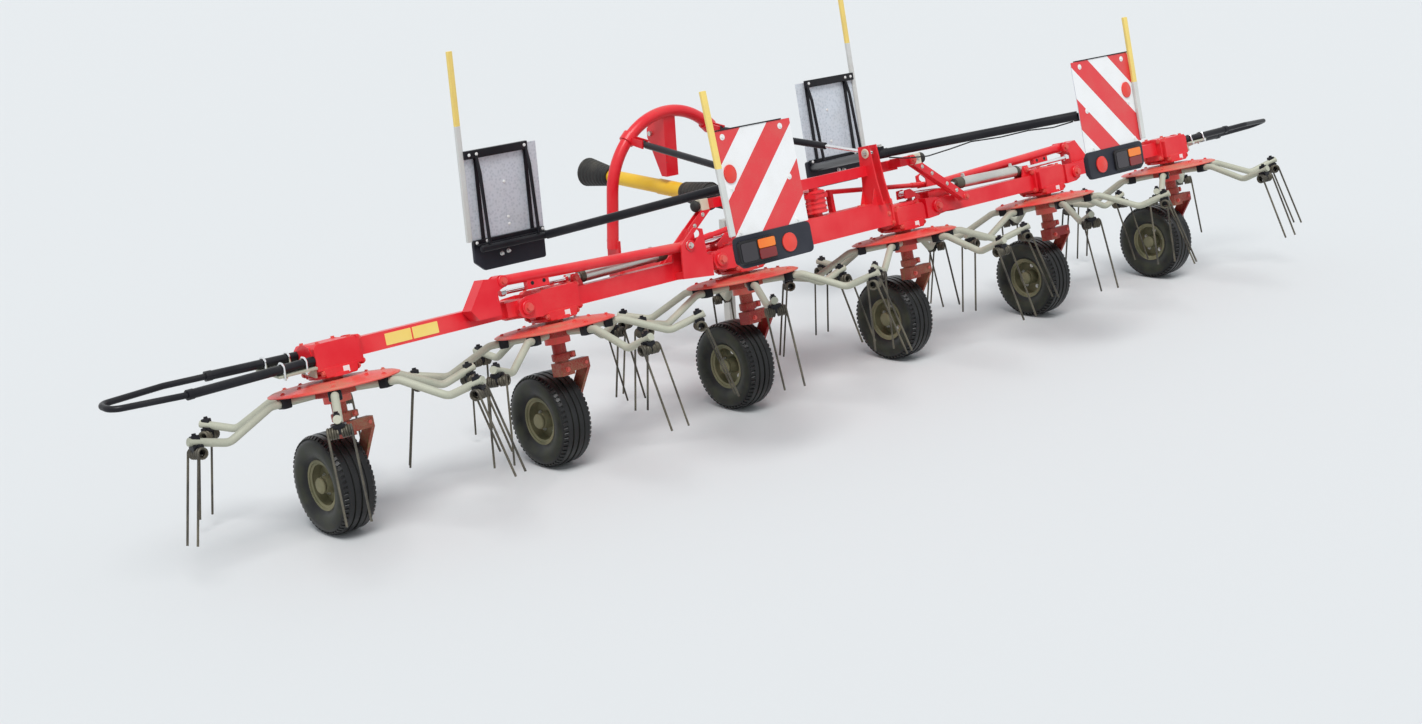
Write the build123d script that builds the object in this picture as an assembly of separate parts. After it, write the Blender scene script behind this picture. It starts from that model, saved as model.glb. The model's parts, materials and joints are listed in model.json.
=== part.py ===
from build123d import *
import math
import os

# A mounted rotary hay tedder with six rotors, in its working position on six small wheels.
# X points to the machine's right, Y the way it travels and Z up, in millimetres.
# Pieces are drawn with the line of the rotors at Y = 0 and the ground at Z = 0.
# The beams, gearboxes and rotors lean forward together, so they are drawn in a leaning
# frame with the coordinates x, v (forward along the lean) and w (up along the rotor axes).

# Whole machine
LEAN = 11.5               # forward lean of beams and rotors, degrees
RIM_HEIGHT = 629.0        # height of a disc's rim over the ground, on the rotor line
PITCH = 1076.0            # from one rotor axis to the next
ROTORS = 6
SEAT = 0.3                # gap between pieces that rest on each other across a joint
RUN = 0.05                # radial clearance of a shaft in its bore

# Gear housings and the wheel legs under them
AXIS_W = 109.0            # height of the drive line over the disc rims
HOUSING_FOOT = 29.0       # underside of a housing
HOUSING_R = 92.0
HOUSING_HALF = 102.0      # from the rotor axis to a housing's side flange
TUBE_HALF = 52.0          # half the side of a housing's square body
TUBE_ROUND = 18.0
FLANGE_R = 62.0
FLANGE = 12.0
POST_R = 30.0
POST_LOW = -215.0
BLOCK = 34.0              # half the side of the block at a post's foot
BLOCK_HIGH = 57.0

# Wheels
WHEEL_R = 205.0
TYRE_HALF = 82.5
RIM_R = 103.0
RIM_HALF = 58.0
WHEEL_AHEAD = 85.0        # wheel centre ahead of the rotor axis, at ground level
AXLE_R = 15.0
LEG_GAP = 21.5            # from the tyre's side to the leg bar
LEG_T = 14.0
LEG_WIDE = 60.0

# Rotors
DISC_R = 260.0
DISC_T = 4.0
HUB_R = 55.0
HUB_LOW = -75.0
NECK_R = 40.0
ARMS = 6
ARM_R = 16.0
ARM_W = -28.0             # height of an arm where it lies under the disc
ARM_KNEE_R = 285.0
ARM_LOW_R = 480.0
ARM_LOW_W = -120.0
ARM_TIP_R = 640.0
ARM_TIP_W = -78.0
RING_R = 95.0
COIL_R = 24.0
COIL_LONG = 42.0
COIL_IN = 28.0            # coils sit this far inside an arm's tip, and this far under it
COIL_UNDER = 50.0
TINE_R = 4.75
TINE_TIP_R = 712.0
TINE_TIP_W = -455.0

# Centre frame
BEAM_DEEP = 60.0
BEAM_LOW = 70.0
BEAM_TOP = 190.0
CROSS_HALF = 555.0        # crossbar above the beam
CROSS_LOW = 325.0
CROSS_TOP = 375.0
CROSS_HALF_DEEP = 25.0
KING_V = 0.0
KING_R = 22.0
TOWER_X = 372.0           # middle of a tower, between its two plates
TOWER_GAP = 42.0
TOWER_T = 8.0
TOWER_TOP = 467.0
TOWER_WAIST = 300.0
PIN_V = -38.0             # damper pin in a tower
PIN_W = 432.0
BRACE_TOP = (CROSS_HALF + 20.0, 358.0)
BRACE_FOOT = (905.0, 122.0)
BRACE_WIDE = 36.0
BRACE_T = 6.0
BRACE_V = -94.0           # middle of a brace's two bars
BRACE_HALF = 14.0         # half the gap between them
BUFFER_X = BRACE_TOP[0] + 79.0
BUFFER_R = 22.0
STAY_V = 80.0             # tie rod from the beam to the ear's height
STAY_IN = (165.0, 286.0)
STAY_JOIN = (735.0, 226.0)
STAY_OUT = (832.0, 216.0)

# Wing hinges: a fork on the inner side's gear housing and a boss between its plates
HINGE_OUT = 177.0         # from a rotor axis to the hinge axis outside it
FOLD_X = PITCH / 2 + HINGE_OUT        # axis on which an inner wing folds
FLOAT_X = PITCH * 3 / 2 + HINGE_OUT   # axis on which an outer wing follows the ground
FORK_V = 78.0             # inner face of a fork plate
FORK_T = 12.0
FORK_HALF = 50.0          # half the height of a fork plate
HINGE_R = 42.0
HINGE_PIN_R = 20.0

# Link tube between an inner wing's slotted ear and the outer wing's bracket
LINK_V = 77.0
LINK_IN = (896.0, 204.0)  # x and w of its inner pin
LINK_OUT = (1898.0, 240.0)
LINK_R = 22.0
LINK_PIN_R = 12.0
SLOT_PIN_R = 10.0
SLOT_LOW = (LINK_IN[0] + 4, LINK_IN[1] - 3)
SLOT_END = (LINK_IN[0] - 55, LINK_IN[1] + 46)
SLOT_R = 16.0
EAR_T = 8.0
EAR_GAP = 28.0            # from the link tube's middle to the inner face of an ear plate

# Lift cylinders
CYL_V = 0.0
CYL_ROD_EYE = (588.0, 197.0)
CYL_BARREL_EYE = (1480.0, 177.0)
CYL_R = 27.0
CYL_ROD_R = 14.0
CYL_BARREL_LONG = 520.0
CYL_ROD_IN = 282.0        # from the barrel's eye to the rod's inner end
BARREL_NECK = 44.0
EYE_WIDE = 40.0
EYE_R = 21.0
ROD_EYE_R = 17.0
RELIEF_W = 146.0          # flat over a gear housing that the rod's eye swings past

# Wings
INNER_DEEP = 45.0         # half the depth of the inner wing's box
INNER_LOW = 64.0
INNER_TOP = 142.0
INNER_START = 870.0
HEAD_DEEP = 58.0          # half the depth of a wing's hinge head
OUTER_DEEP = 34.0
OUTER_LOW = 82.0
OUTER_TOP = 152.0
GUARD_R = 16.0
GUARD_END = 3610.0
GUARD_WIDE = 165.0

# Headstock
ARCH_Y = 1100.0
ARCH_R = 390.0
ARCH_MID_Z = 855.0
ARCH_TUBE_R = 30.0
LEG_SPLAY = 4.8
FOOT_Z = 610.0            # where an arch leg flattens into its foot plate
LOWER_PIN_Z = 520.0
LOWER_SPREAD = ARCH_R + 22.5          # half the distance between the lower pins' shoulders
LOWER_PIN_R = 14.0
LOWER_PIN_LONG = 95.0
FOOT_T = 16.0
TOP_PIN_Y = 1195.0
TOP_PIN_Z = 1130.0
TOP_PIN_R = 12.8
TOP_GAP = 52.0
TOP_T = 12.0
NECK_Z = 905.0            # underside of the plate over the drive shaft
NECK_T = 20.0
NECK_X = 200.0
NECK_Y = 400.0
NECK_DEEP = 55.0
DRAW_Z = 600.0
DRAW_END_Z = 505.0
DRAW_HALF = 28.0
STAND_X = 300.0
STAND_Y = 1050.0
STAND_HALF = 22.0
LOW_TUBE_Z = 495.0        # cross tube between the arch's feet
STAND_TOP = 640.0
DAMPER_X = 255.0
DAMPER_Y = 1000.0
DAMPER_UNDER = 20.9774     # the damper's pin lies this far under the arch's middle line
DAMPER_Z = ARCH_MID_Z + math.sqrt(ARCH_R ** 2 - (DAMPER_X + 8.0) ** 2) - DAMPER_UNDER
DAMPER_R = 17.0
DAMPER_ROD_R = 9.0
DAMPER_BARREL_LONG = 690.0

# Drive shaft
SHAFT_START = (0.0, 205.0, 813.0)
SHAFT_END = (0.0, 1850.0, 875.0)
SHAFT_GUARD_R = 40.0
SHAFT_CONE_R = 72.0
SHAFT_BORE_R = 17.4

# Warning panels and lights
PANEL = 423.0
PANEL_T = 3.0
BACK_PANEL = (1115.0, -900.0, 456.0)   # x, v, w of a rear panel's middle
BOARD_T = 40.0
BOARD_HIGH = 110.0
BOARD_HALF = 212.0
REFLECTOR_R = 39.0
LAMP_WIDE = 96.0
# side and x of the middle of a rear lamp, which are alike and not mirrored
REAR_LAMPS = [(-1, 1155.0), (1, 1270.0)]
# side, x, y, z of a front panel's middle and its lean
FRONT_PANELS = [(-1, 1008.0, 1148.0, 998.0, 1.5), (1, 1190.0, 1148.0, 1040.0, 9.0)]
POLE_HALF = 15.0
BACK_POLE_OVER = 165.0
FRONT_POLE_OVER = 480.0
CARRIER_R = 16.0

os.makedirs("parts", exist_ok=True)

LEANING = Location((0, 0, RIM_HEIGHT), (-LEAN, 0, 0))


def leaning(v, z):
    """Coordinates v and w of a point at Y = v and Z = z of the row frame."""
    tilt = math.radians(LEAN)
    over = z - RIM_HEIGHT
    return v * math.cos(tilt) - over * math.sin(tilt), v * math.sin(tilt) + over * math.cos(tilt)


def upright(x, v, w):
    """Row frame point of a point given in the leaning frame."""
    tilt = math.radians(LEAN)
    return (x, v * math.cos(tilt) + w * math.sin(tilt), RIM_HEIGHT - v * math.sin(tilt) + w * math.cos(tilt))


WHEEL_V, WHEEL_W = leaning(WHEEL_AHEAD, WHEEL_R)


def block(x0, x1, y0, y1, z0, z1):
    return Pos((x0 + x1) / 2, (y0 + y1) / 2, (z0 + z1) / 2) * Box(x1 - x0, y1 - y0, z1 - z0)


def rod(start, end, radius):
    way = Vector(*end) - Vector(*start)
    stem = Cylinder(radius, way.length, align=(Align.CENTER, Align.CENTER, Align.MIN))
    return Plane(origin=start, z_dir=way) * stem


def across(x, w, v0, v1, radius):
    """Pin or boss that runs fore and aft at x and w."""
    return rod((x, v0, w), (x, v1, w), radius)


def plate(points, v0, v1):
    """Plate with an outline in x and w, between two depths."""
    face = make_face(Polyline([(x, 0, w) for x, w in points], close=True))
    return Pos(0, v0, 0) * extrude(face, amount=v1 - v0, dir=(0, 1, 0))


def side_plate(points, x0, x1):
    """Plate with an outline in v and w, between two sides."""
    face = make_face(Polyline([(0, v, w) for v, w in points], close=True))
    return Pos(x0, 0, 0) * extrude(face, amount=x1 - x0, dir=(1, 0, 0))


def strip(start, end, wide):
    """Outline of a flat bar between two points."""
    dx, dw = end[0] - start[0], end[1] - start[1]
    long = math.hypot(dx, dw)
    ox, ow = -dw / long * wide / 2, dx / long * wide / 2
    return [(start[0] + ox, start[1] + ow), (end[0] + ox, end[1] + ow),
            (end[0] - ox, end[1] - ow), (start[0] - ox, start[1] - ow)]


def bent_tube(points, bend, radius):
    path = FilletPolyline(*points, radius=bend)
    return sweep(Plane(origin=path @ 0, z_dir=path % 0) * Circle(radius), path)


def spun(points, axis):
    return revolve(make_face(Polyline(points, close=True)), axis)


def joined(pieces):
    whole = pieces[0]
    for piece in pieces[1:]:
        whole = whole + piece
    return whole


def other_side(shape):
    return mirror(shape, about=Plane.YZ)


def turned_round(shape):
    """Left-hand copy in the leaning frame: what is in front on the right is behind on the left."""
    return Rot(0, 0, 180) * shape


NODES = {}


def save(name, shape):
    NODES[name] = shape.solids()


def rotor_x(number):
    return (number - (ROTORS + 1) / 2) * PITCH


# Gear housing, drawn on its rotor axis
def housing():
    bell = [(0, HOUSING_FOOT), (HOUSING_R, HOUSING_FOOT), (HOUSING_R, 41), (80, 47), (70, 118), (50, 150),
            (0, 162)]
    body = spun([(r, 0, w) for r, w in bell], Axis.Z)
    tube = block(-HOUSING_HALF, HOUSING_HALF, -TUBE_HALF, TUBE_HALF, AXIS_W - TUBE_HALF, AXIS_W + TUBE_HALF)
    tube = fillet(tube.edges().filter_by(Axis.X), TUBE_ROUND)
    flanges = [rod((x, 0, AXIS_W), (x + FLANGE, 0, AXIS_W), FLANGE_R)
               for x in (-HOUSING_HALF, HOUSING_HALF - FLANGE)]
    return joined([body, tube] + flanges)


# Wheel leg: post through the rotor, block, side bar and stub axle
def wheel_leg():
    bar_x = TYRE_HALF + LEG_GAP
    post = rod((0, 0, POST_LOW), (0, 0, HOUSING_FOOT), POST_R)
    foot = block(-BLOCK, BLOCK, -BLOCK, BLOCK, POST_LOW, POST_LOW + BLOCK_HIGH)
    arm = block(BLOCK, bar_x + LEG_T, -BLOCK, 14, POST_LOW + 12, POST_LOW + BLOCK_HIGH)
    bar = side_plate(strip((-8, POST_LOW + 30), (WHEEL_V, WHEEL_W), LEG_WIDE), bar_x, bar_x + LEG_T)
    boss = rod((bar_x - LEG_GAP + 2, WHEEL_V, WHEEL_W), (bar_x + LEG_T + 12, WHEEL_V, WHEEL_W), LEG_WIDE / 2)
    axle = rod((-RIM_HALF, WHEEL_V, WHEEL_W), (bar_x, WHEEL_V, WHEEL_W), AXLE_R)
    return joined([post, foot, arm, bar, boss, axle])


# Wheel: tyre and rim, drawn on the wheel's axis
def tyre():
    half = [(RIM_HALF, RIM_R + SEAT), (RIM_HALF + 8, 116), (TYRE_HALF, 140), (TYRE_HALF, 172), (66, 196),
            (42, WHEEL_R)]
    outline = half + [(-x, r) for x, r in reversed(half)]
    return Pos(0, WHEEL_V, WHEEL_W) * spun([(x, 0, r) for x, r in outline], Axis.X)


def rim():
    bore = AXLE_R + RUN
    outline = [(-50, bore), (50, bore), (50, 34), (10, 38), (6, 88), (RIM_HALF, 94), (RIM_HALF, RIM_R),
               (-RIM_HALF, RIM_R), (-RIM_HALF, 94), (-6, 88), (-6, 38), (-50, 34)]
    return Pos(0, WHEEL_V, WHEEL_W) * spun([(x, 0, r) for x, r in outline], Axis.X)


# Rotor disc with its hub
def rotor_disc():
    bore = POST_R + RUN
    top = HOUSING_FOOT - SEAT
    outline = [(bore, HUB_LOW), (HUB_R, HUB_LOW), (HUB_R, 12), (119, 12), (244, -2), (DISC_R - 2, -8),
               (DISC_R, -4), (245, 2), (120, 12 + DISC_T), (NECK_R, 12 + DISC_T), (NECK_R, top), (bore, top)]
    return spun([(r, 0, w) for r, w in outline], Axis.Z)


# One tine arm: cranked tube, clamp, two coils and two tines
def tine_arm():
    route = [(RING_R - 12, 0, ARM_W), (ARM_KNEE_R, 0, ARM_W), (ARM_LOW_R, 0, ARM_LOW_W),
             (ARM_TIP_R, 0, ARM_TIP_W)]
    coil_r = ARM_TIP_R - COIL_IN
    coil_w = ARM_TIP_W - COIL_UNDER
    path = Polyline(*route)
    section = Plane(origin=path @ 0, z_dir=path % 0) * RegularPolygon(ARM_R, 8)
    tube = sweep(section, path, transition=Transition.RIGHT)
    clamp = block(coil_r - 16, coil_r + 16, -11, 11, coil_w - 6, ARM_TIP_W + 14)
    pieces = [tube, clamp]
    for side in (-1, 1):
        near = (coil_r, side * 8, coil_w)
        far = (coil_r, side * (8 + COIL_LONG), coil_w)
        way = Plane(origin=near, z_dir=Vector(*far) - Vector(*near))
        pieces.append(way * extrude(RegularPolygon(COIL_R, 10), amount=COIL_LONG))
        top = Vector(coil_r + COIL_R - 6, side * (2 + COIL_LONG), coil_w)
        tip = Vector(TINE_TIP_R, side * (2 + COIL_LONG), TINE_TIP_W)
        line = Plane(origin=top, z_dir=tip - top)
        pieces.append(line * extrude(RegularPolygon(TINE_R, 6), amount=(tip - top).length))
    return joined(pieces)


def tine_arms():
    ring = spun([(HUB_R + SEAT, 0, ARM_W - 16), (RING_R, 0, ARM_W - 16), (RING_R, 0, ARM_W + 16),
                 (HUB_R + SEAT, 0, ARM_W + 16)], Axis.Z)
    arm = tine_arm()
    return joined([ring] + [Rot(0, 0, 360 / ARMS * turn) * arm for turn in range(ARMS)])


# Centre frame
def tower():
    outline = [(-96, BEAM_TOP - 12), (BEAM_DEEP - 20, BEAM_TOP - 12), (20, TOWER_WAIST), (6, TOWER_TOP),
               (-66, TOWER_TOP), (-78, TOWER_WAIST)]
    inner = TOWER_X - TOWER_GAP / 2
    outer = TOWER_X + TOWER_GAP / 2
    return [side_plate(outline, inner - TOWER_T, inner), side_plate(outline, outer, outer + TOWER_T)]


def hinge_fork(rotor):
    """Two plates, an end plate and the pin with its heads, outside a gear housing."""
    side = rotor + HOUSING_HALF
    pin_x = rotor + HINGE_OUT
    low, high = AXIS_W - FORK_HALF, AXIS_W + FORK_HALF
    outline = [(side, low), (pin_x, low + 4), (pin_x + 32, AXIS_W - 32), (pin_x + 44, AXIS_W),
               (pin_x + 32, AXIS_W + 32), (pin_x, high - 4), (side, high)]
    reach = FORK_V + FORK_T
    plates = [plate(outline, v, v + FORK_T) for v in (-reach, FORK_V)]
    end = block(side, side + 12, -reach, reach, low, high)
    pin = across(pin_x, AXIS_W, -reach - 12, reach + 12, HINGE_PIN_R)
    heads = [across(pin_x, AXIS_W, v, v + 9, 29) for v in (-reach - 9, reach)]
    return plates + [end, pin] + heads


def eye_relief():
    """Room over the outer gear housing for the rod's eye and the lugs' inside."""
    half = EYE_WIDE / 2 + 3
    side = rotor_x(4) + HOUSING_HALF
    return block(CYL_ROD_EYE[0] - 45, side + 20, CYL_V - half, CYL_V + half, RELIEF_W, RELIEF_W + 60)


def ear_side():
    """Fork, cylinder lugs, brace, buffer bracket and tie rod at the right-hand end."""
    side = rotor_x(4) + HOUSING_HALF
    eye_x, eye_w = CYL_ROD_EYE
    over = AXIS_W + FLANGE_R + 4
    lug_outline = [(side, AXIS_W), (side + 24, AXIS_W + 21), (side + 28, AXIS_W + 67),
                   (eye_x + 20, eye_w + 22), (eye_x - 18, eye_w + 20), (eye_x - 22, over), (side, over)]
    lug_gap = EYE_WIDE / 2 + 3
    lugs = [plate(lug_outline, CYL_V + v, CYL_V + v + 8) for v in (-lug_gap - 8, lug_gap)]
    bar = strip(BRACE_TOP, BRACE_FOOT, BRACE_WIDE)
    back = BRACE_V - BRACE_HALF - BRACE_T
    front = BRACE_V + BRACE_HALF
    bars = [plate(bar, v, v + BRACE_T) for v in (back, front)]
    foot = across(*BRACE_FOOT, back - 5, front + BRACE_T + 5, 14)
    top_x, top_w = BRACE_TOP
    half = (CROSS_TOP - CROSS_LOW) / 2 - 3
    arm = block(CROSS_HALF - 60, CROSS_HALF - 4, BRACE_V - BRACE_HALF, 0, top_w - half, CROSS_TOP - 3)
    bracket = block(CROSS_HALF - 60, top_x + 14, BRACE_V - BRACE_HALF, -EYE_WIDE, top_w - half, top_w + half)
    top_pin = across(top_x, top_w, back - 8, BRACE_V, 14)
    stay_in, stay_join, stay_out = [(x, STAY_V, w) for x, w in (STAY_IN, STAY_JOIN, STAY_OUT)]
    post = block(STAY_IN[0] - 10, STAY_IN[0] + 10, BEAM_DEEP - 2, STAY_V + 8, BEAM_LOW + 50, STAY_IN[1] + 8)
    stay = [rod(stay_in, stay_join, 9), rod(stay_join, stay_out, 14)]
    fork = joined(hinge_fork(rotor_x(4))) - eye_relief()
    return [fork] + lugs + bars + [foot, arm, bracket, top_pin, post] + stay


def centre_frame():
    beam_half = rotor_x(4) - HOUSING_HALF
    beam = block(-beam_half, beam_half, -BEAM_DEEP, BEAM_DEEP, BEAM_LOW, BEAM_TOP)
    cross = block(-CROSS_HALF, CROSS_HALF, -CROSS_HALF_DEEP, CROSS_HALF_DEEP, CROSS_LOW, CROSS_TOP)
    king = rod((0, KING_V, BEAM_TOP), (0, KING_V, CROSS_LOW), KING_R)
    right_tower = joined(tower())
    right = ear_side()
    left = [turned_round(piece) for piece in right]
    whole = joined([beam, cross, king, right_tower, other_side(right_tower)] + right + left)
    return Compound(whole.solids())


def centre_gearbox():
    houses = [Pos(rotor_x(4), 0, 0) * housing() - eye_relief()]
    houses.append(turned_round(houses[0]))
    case = block(-72, 72, BEAM_DEEP, 150, 84, 228)
    input_neck = [(-0.045, -0.012, 46), (-0.015, -0.0002, 18)]
    shaft = [rod(shaft_point(start), shaft_point(end), radius) for start, end, radius in input_neck]
    case = joined([LEANING * case] + shaft)
    pieces = [LEANING * house for house in houses] + [case]
    return Compound([solid for piece in pieces for solid in piece.solids()])


def buffers():
    top_x, top_w = BRACE_TOP
    pad = block(top_x + 14 + SEAT, BUFFER_X - 12, BRACE_V - 13, BRACE_V + 13, top_w - 20, top_w + 20)
    right = pad + Pos(BUFFER_X, BRACE_V, top_w) * Sphere(BUFFER_R)
    return Compound(right.solids() + turned_round(right).solids())


# Inner wing on the right-hand side
def hinge_head(x, start, low, high):
    """Boss on a wing's hinge axis and the head that joins it to the wing's box."""
    boss = across(x, AXIS_W, -FORK_V + SEAT, FORK_V - SEAT, HINGE_R)
    head = block(x, start + 10, -HEAD_DEEP, HEAD_DEEP, low, high)
    return [boss, head]


def ear_plates():
    """Slotted ear for the link tube, beside the wing's box."""
    pin_x, pin_w = LINK_IN
    end_x, end_w = SLOT_END
    outline = [(INNER_START - 78, INNER_LOW - 14), (pin_x + 70, INNER_LOW + 2), (pin_x + 48, pin_w + 10),
               (end_x + 17, end_w + 28), (end_x - 33, end_w + 14), (end_x - 33, INNER_TOP + 8),
               (INNER_START - 90, INNER_TOP - 4)]
    near, far = LINK_V - EAR_GAP, LINK_V + EAR_GAP
    plates = [plate(outline, near - EAR_T, near), plate(outline, far, far + EAR_T)]
    foot = block(INNER_START + 35, pin_x + 64, INNER_DEEP - 10, far + EAR_T, INNER_LOW + 2, INNER_LOW + 32)
    slot = [rod((x, near - 20, w), (x, far + 20, w), SLOT_R) for x, w in (SLOT_LOW, SLOT_END)]
    slot.append(plate(strip(SLOT_LOW, SLOT_END, 2 * SLOT_R), near - 20, far + 20))
    return joined(plates + [foot]) - joined(slot)


def inner_wing():
    end = rotor_x(5) - HOUSING_HALF
    box = block(INNER_START, end, -INNER_DEEP, INNER_DEEP, INNER_LOW, INNER_TOP)
    lug_x, lug_w = CYL_BARREL_EYE
    lug_outline = [(lug_x - 40, INNER_TOP - 4), (lug_x - 18, lug_w + 20), (lug_x + 16, lug_w + 20),
                   (lug_x + 22, INNER_TOP - 4)]
    lug_gap = EYE_WIDE / 2 + SEAT
    lugs = [plate(lug_outline, CYL_V + v, CYL_V + v + 8) for v in (-lug_gap - 8, lug_gap)]
    pin = across(lug_x, lug_w, CYL_V - lug_gap - 14, CYL_V + lug_gap + 14, 10)
    post = block(end - 8, end, -14, 14, INNER_TOP - 4, lug_w + 14)
    outer_rod = rod((end - 4, 0, lug_w + 4), (FLOAT_X + 52, 0, lug_w + 10), 9)
    fitting = rod((FLOAT_X + 40, 0, lug_w + 10), (FLOAT_X + 62, 0, lug_w + 10), 13)
    house = Pos(rotor_x(5), 0, 0) * housing()
    pieces = [box] + hinge_head(FOLD_X, INNER_START, AXIS_W - 36, AXIS_W + 32) + lugs
    pieces += [pin, post, outer_rod, fitting, house, ear_plates()] + hinge_fork(rotor_x(5))
    return joined(pieces) - across(FOLD_X, AXIS_W, -FORK_V - 20, FORK_V + 20, HINGE_PIN_R + RUN)


# Outer wing on the right-hand side
def outer_wing():
    start = FLOAT_X + 70
    box = block(start, rotor_x(6) - HOUSING_HALF, -OUTER_DEEP, OUTER_DEEP, OUTER_LOW, OUTER_TOP)
    pin_x, pin_w = LINK_OUT
    near, far = LINK_V - EAR_GAP, LINK_V + EAR_GAP
    outline = [(pin_x + 36, OUTER_LOW + 24), (pin_x + 146, OUTER_LOW + 24), (pin_x + 180, OUTER_TOP),
               (pin_x + 92, pin_w + 24), (pin_x + 36, pin_w + 16)]
    bracket = plate(outline, near - 6, far + 6)
    lug = [(pin_x - 24, pin_w - 16), (pin_x - 16, pin_w + 22), (pin_x + 42, pin_w + 16),
           (pin_x + 42, pin_w - 40), (pin_x + 4, pin_w - 26)]
    lugs = [plate(lug, near - 6, near), plate(lug, far, far + 6)]
    foot = block(pin_x + 44, pin_x + 140, OUTER_DEEP - 10, near, OUTER_LOW + 30, OUTER_TOP - 6)
    pin = across(pin_x, pin_w, near - 14, far + 12, LINK_PIN_R)
    house = Pos(rotor_x(6), 0, 0) * housing()
    pieces = [box] + hinge_head(FLOAT_X, start, AXIS_W - 26, AXIS_W + 36) + [bracket] + lugs
    pieces += [foot, pin, house]
    return joined(pieces) - across(FLOAT_X, AXIS_W, -FORK_V - 20, FORK_V + 20, HINGE_PIN_R + RUN)


def end_guard():
    start = rotor_x(6) + HOUSING_HALF + SEAT
    half = [(start + 6, 40), (GUARD_END - 130, GUARD_WIDE), (GUARD_END, GUARD_WIDE - 30)]
    route = [(x, -v) for x, v in half] + half[::-1]
    hoop = bent_tube([(x, v, AXIS_W) for x, v in route], 60, GUARD_R)
    foot = block(start, start + 10, -58, 58, AXIS_W - 24, AXIS_W + 24)
    return hoop + foot


# Link tube on the right-hand side, with the bored block under it
def link_tube():
    (x0, w0), (x1, w1) = LINK_IN, LINK_OUT
    tube = rod((x0 + 10, LINK_V, w0), (x1 - 10, LINK_V, w1), LINK_R)
    eyes = [across(x, w, LINK_V - LINK_R, LINK_V + LINK_R, 26) for x, w in (LINK_IN, LINK_OUT)]
    lock = block(x1 - 240, x1 - 130, LINK_V - 14, LINK_V + 14, w1 - 58, w1 - 10)
    reach = EAR_GAP + EAR_T
    pin = across(x0, w0, LINK_V - reach - 8, LINK_V + reach + 8, SLOT_PIN_R)
    washers = [across(x0, w0, v, v + 5, 23) for v in (LINK_V - reach - 7, LINK_V + reach + 2)]
    body = joined([tube] + eyes + [lock, pin] + washers)
    return body - across(x1, w1, LINK_V - 60, LINK_V + 60, LINK_PIN_R + RUN)


# Lift cylinder on the right-hand side
def along(start, end, distance):
    dx, dw = end[0] - start[0], end[1] - start[1]
    long = math.hypot(dx, dw)
    return (start[0] + dx / long * distance, CYL_V, start[1] + dw / long * distance)


def cylinder_barrel():
    far, near = CYL_BARREL_EYE, CYL_ROD_EYE
    eye = across(*far, CYL_V - EYE_WIDE / 2, CYL_V + EYE_WIDE / 2, EYE_R)
    neck = rod(along(far, near, 8), along(far, near, BARREL_NECK + 4), EYE_WIDE / 2 - 2)
    tube = rod(along(far, near, BARREL_NECK), along(far, near, CYL_BARREL_LONG), CYL_R)
    body = joined([eye, neck, tube])
    body = body - across(*far, CYL_V - 60, CYL_V + 60, 10 + RUN)
    return body - rod(along(far, near, 60), along(far, near, CYL_BARREL_LONG + 5), CYL_ROD_R + RUN)


def cylinder_rod():
    far, near = CYL_BARREL_EYE, CYL_ROD_EYE
    eye = across(*near, CYL_V - EYE_WIDE / 2, CYL_V + EYE_WIDE / 2, ROD_EYE_R)
    return eye + rod(along(near, far, 5), along(far, near, CYL_ROD_IN), CYL_ROD_R)


# Headstock: the arch with its cheeks, feet and damper ears
def headstock_arch():
    splay = math.radians(LEG_SPLAY)
    top_x = ARCH_R * math.cos(splay)
    top_z = ARCH_MID_Z + ARCH_R * math.sin(splay)
    foot_x = top_x + (top_z - FOOT_Z) * math.tan(splay)
    arc = ThreePointArc((-top_x, ARCH_Y, top_z), (0, ARCH_Y, ARCH_MID_Z + ARCH_R), (top_x, ARCH_Y, top_z))
    left_leg = Line((-foot_x, ARCH_Y, FOOT_Z), (-top_x, ARCH_Y, top_z))
    right_leg = Line((top_x, ARCH_Y, top_z), (foot_x, ARCH_Y, FOOT_Z))
    path = Wire([left_leg, arc, right_leg])
    arch = sweep(Plane(origin=path @ 0, z_dir=path % 0) * Circle(ARCH_TUBE_R), path)
    back = ARCH_Y - 12
    front = ARCH_Y + 30
    over = ARCH_MID_Z + ARCH_R + 6
    low = TOP_PIN_Z - 215
    web = block(-TOP_GAP / 2 - TOP_T, TOP_GAP / 2 + TOP_T, back, ARCH_Y + 12, low, over - 12)
    cheek = [(back, low), (front, low), (TOP_PIN_Y + 32, TOP_PIN_Z - 22), (TOP_PIN_Y + 32, TOP_PIN_Z + 22),
             (front, over), (back, over)]
    cheeks = [side_plate(cheek, x, x + TOP_T) for x in (-TOP_GAP / 2 - TOP_T, TOP_GAP / 2)]
    foot = block(LOWER_SPREAD - FOOT_T, LOWER_SPREAD, ARCH_Y - 45, ARCH_Y + 45, LOWER_PIN_Z - 60, FOOT_Z + 40)
    clamp_x = DAMPER_X + 8
    clamp_up = math.sqrt(ARCH_R ** 2 - clamp_x ** 2)
    clamp = Plane(origin=(clamp_x, ARCH_Y, ARCH_MID_Z + clamp_up), z_dir=(-clamp_up, 0, clamp_x))
    collar = clamp * Cylinder(ARCH_TUBE_R + 9, 44)
    ear = [(DAMPER_Y - 22, DAMPER_Z - 20), (DAMPER_Y - 22, DAMPER_Z + 20), (ARCH_Y, DAMPER_Z + 34),
           (ARCH_Y, DAMPER_Z - 2)]
    ears = [side_plate(ear, x, x + 8) for x in (DAMPER_X - 21, DAMPER_X + 13)]
    right = joined([foot, collar] + ears)
    body = joined([arch, web] + cheeks + [right, other_side(right)])
    return body - rod((-100, TOP_PIN_Y, TOP_PIN_Z), (100, TOP_PIN_Y, TOP_PIN_Z), TOP_PIN_R)


def upright_bar(half, low, high):
    """Square upright bar at the parking stand's place."""
    return block(STAND_X - half, STAND_X + half, STAND_Y - half, STAND_Y + half, low, high)


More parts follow.
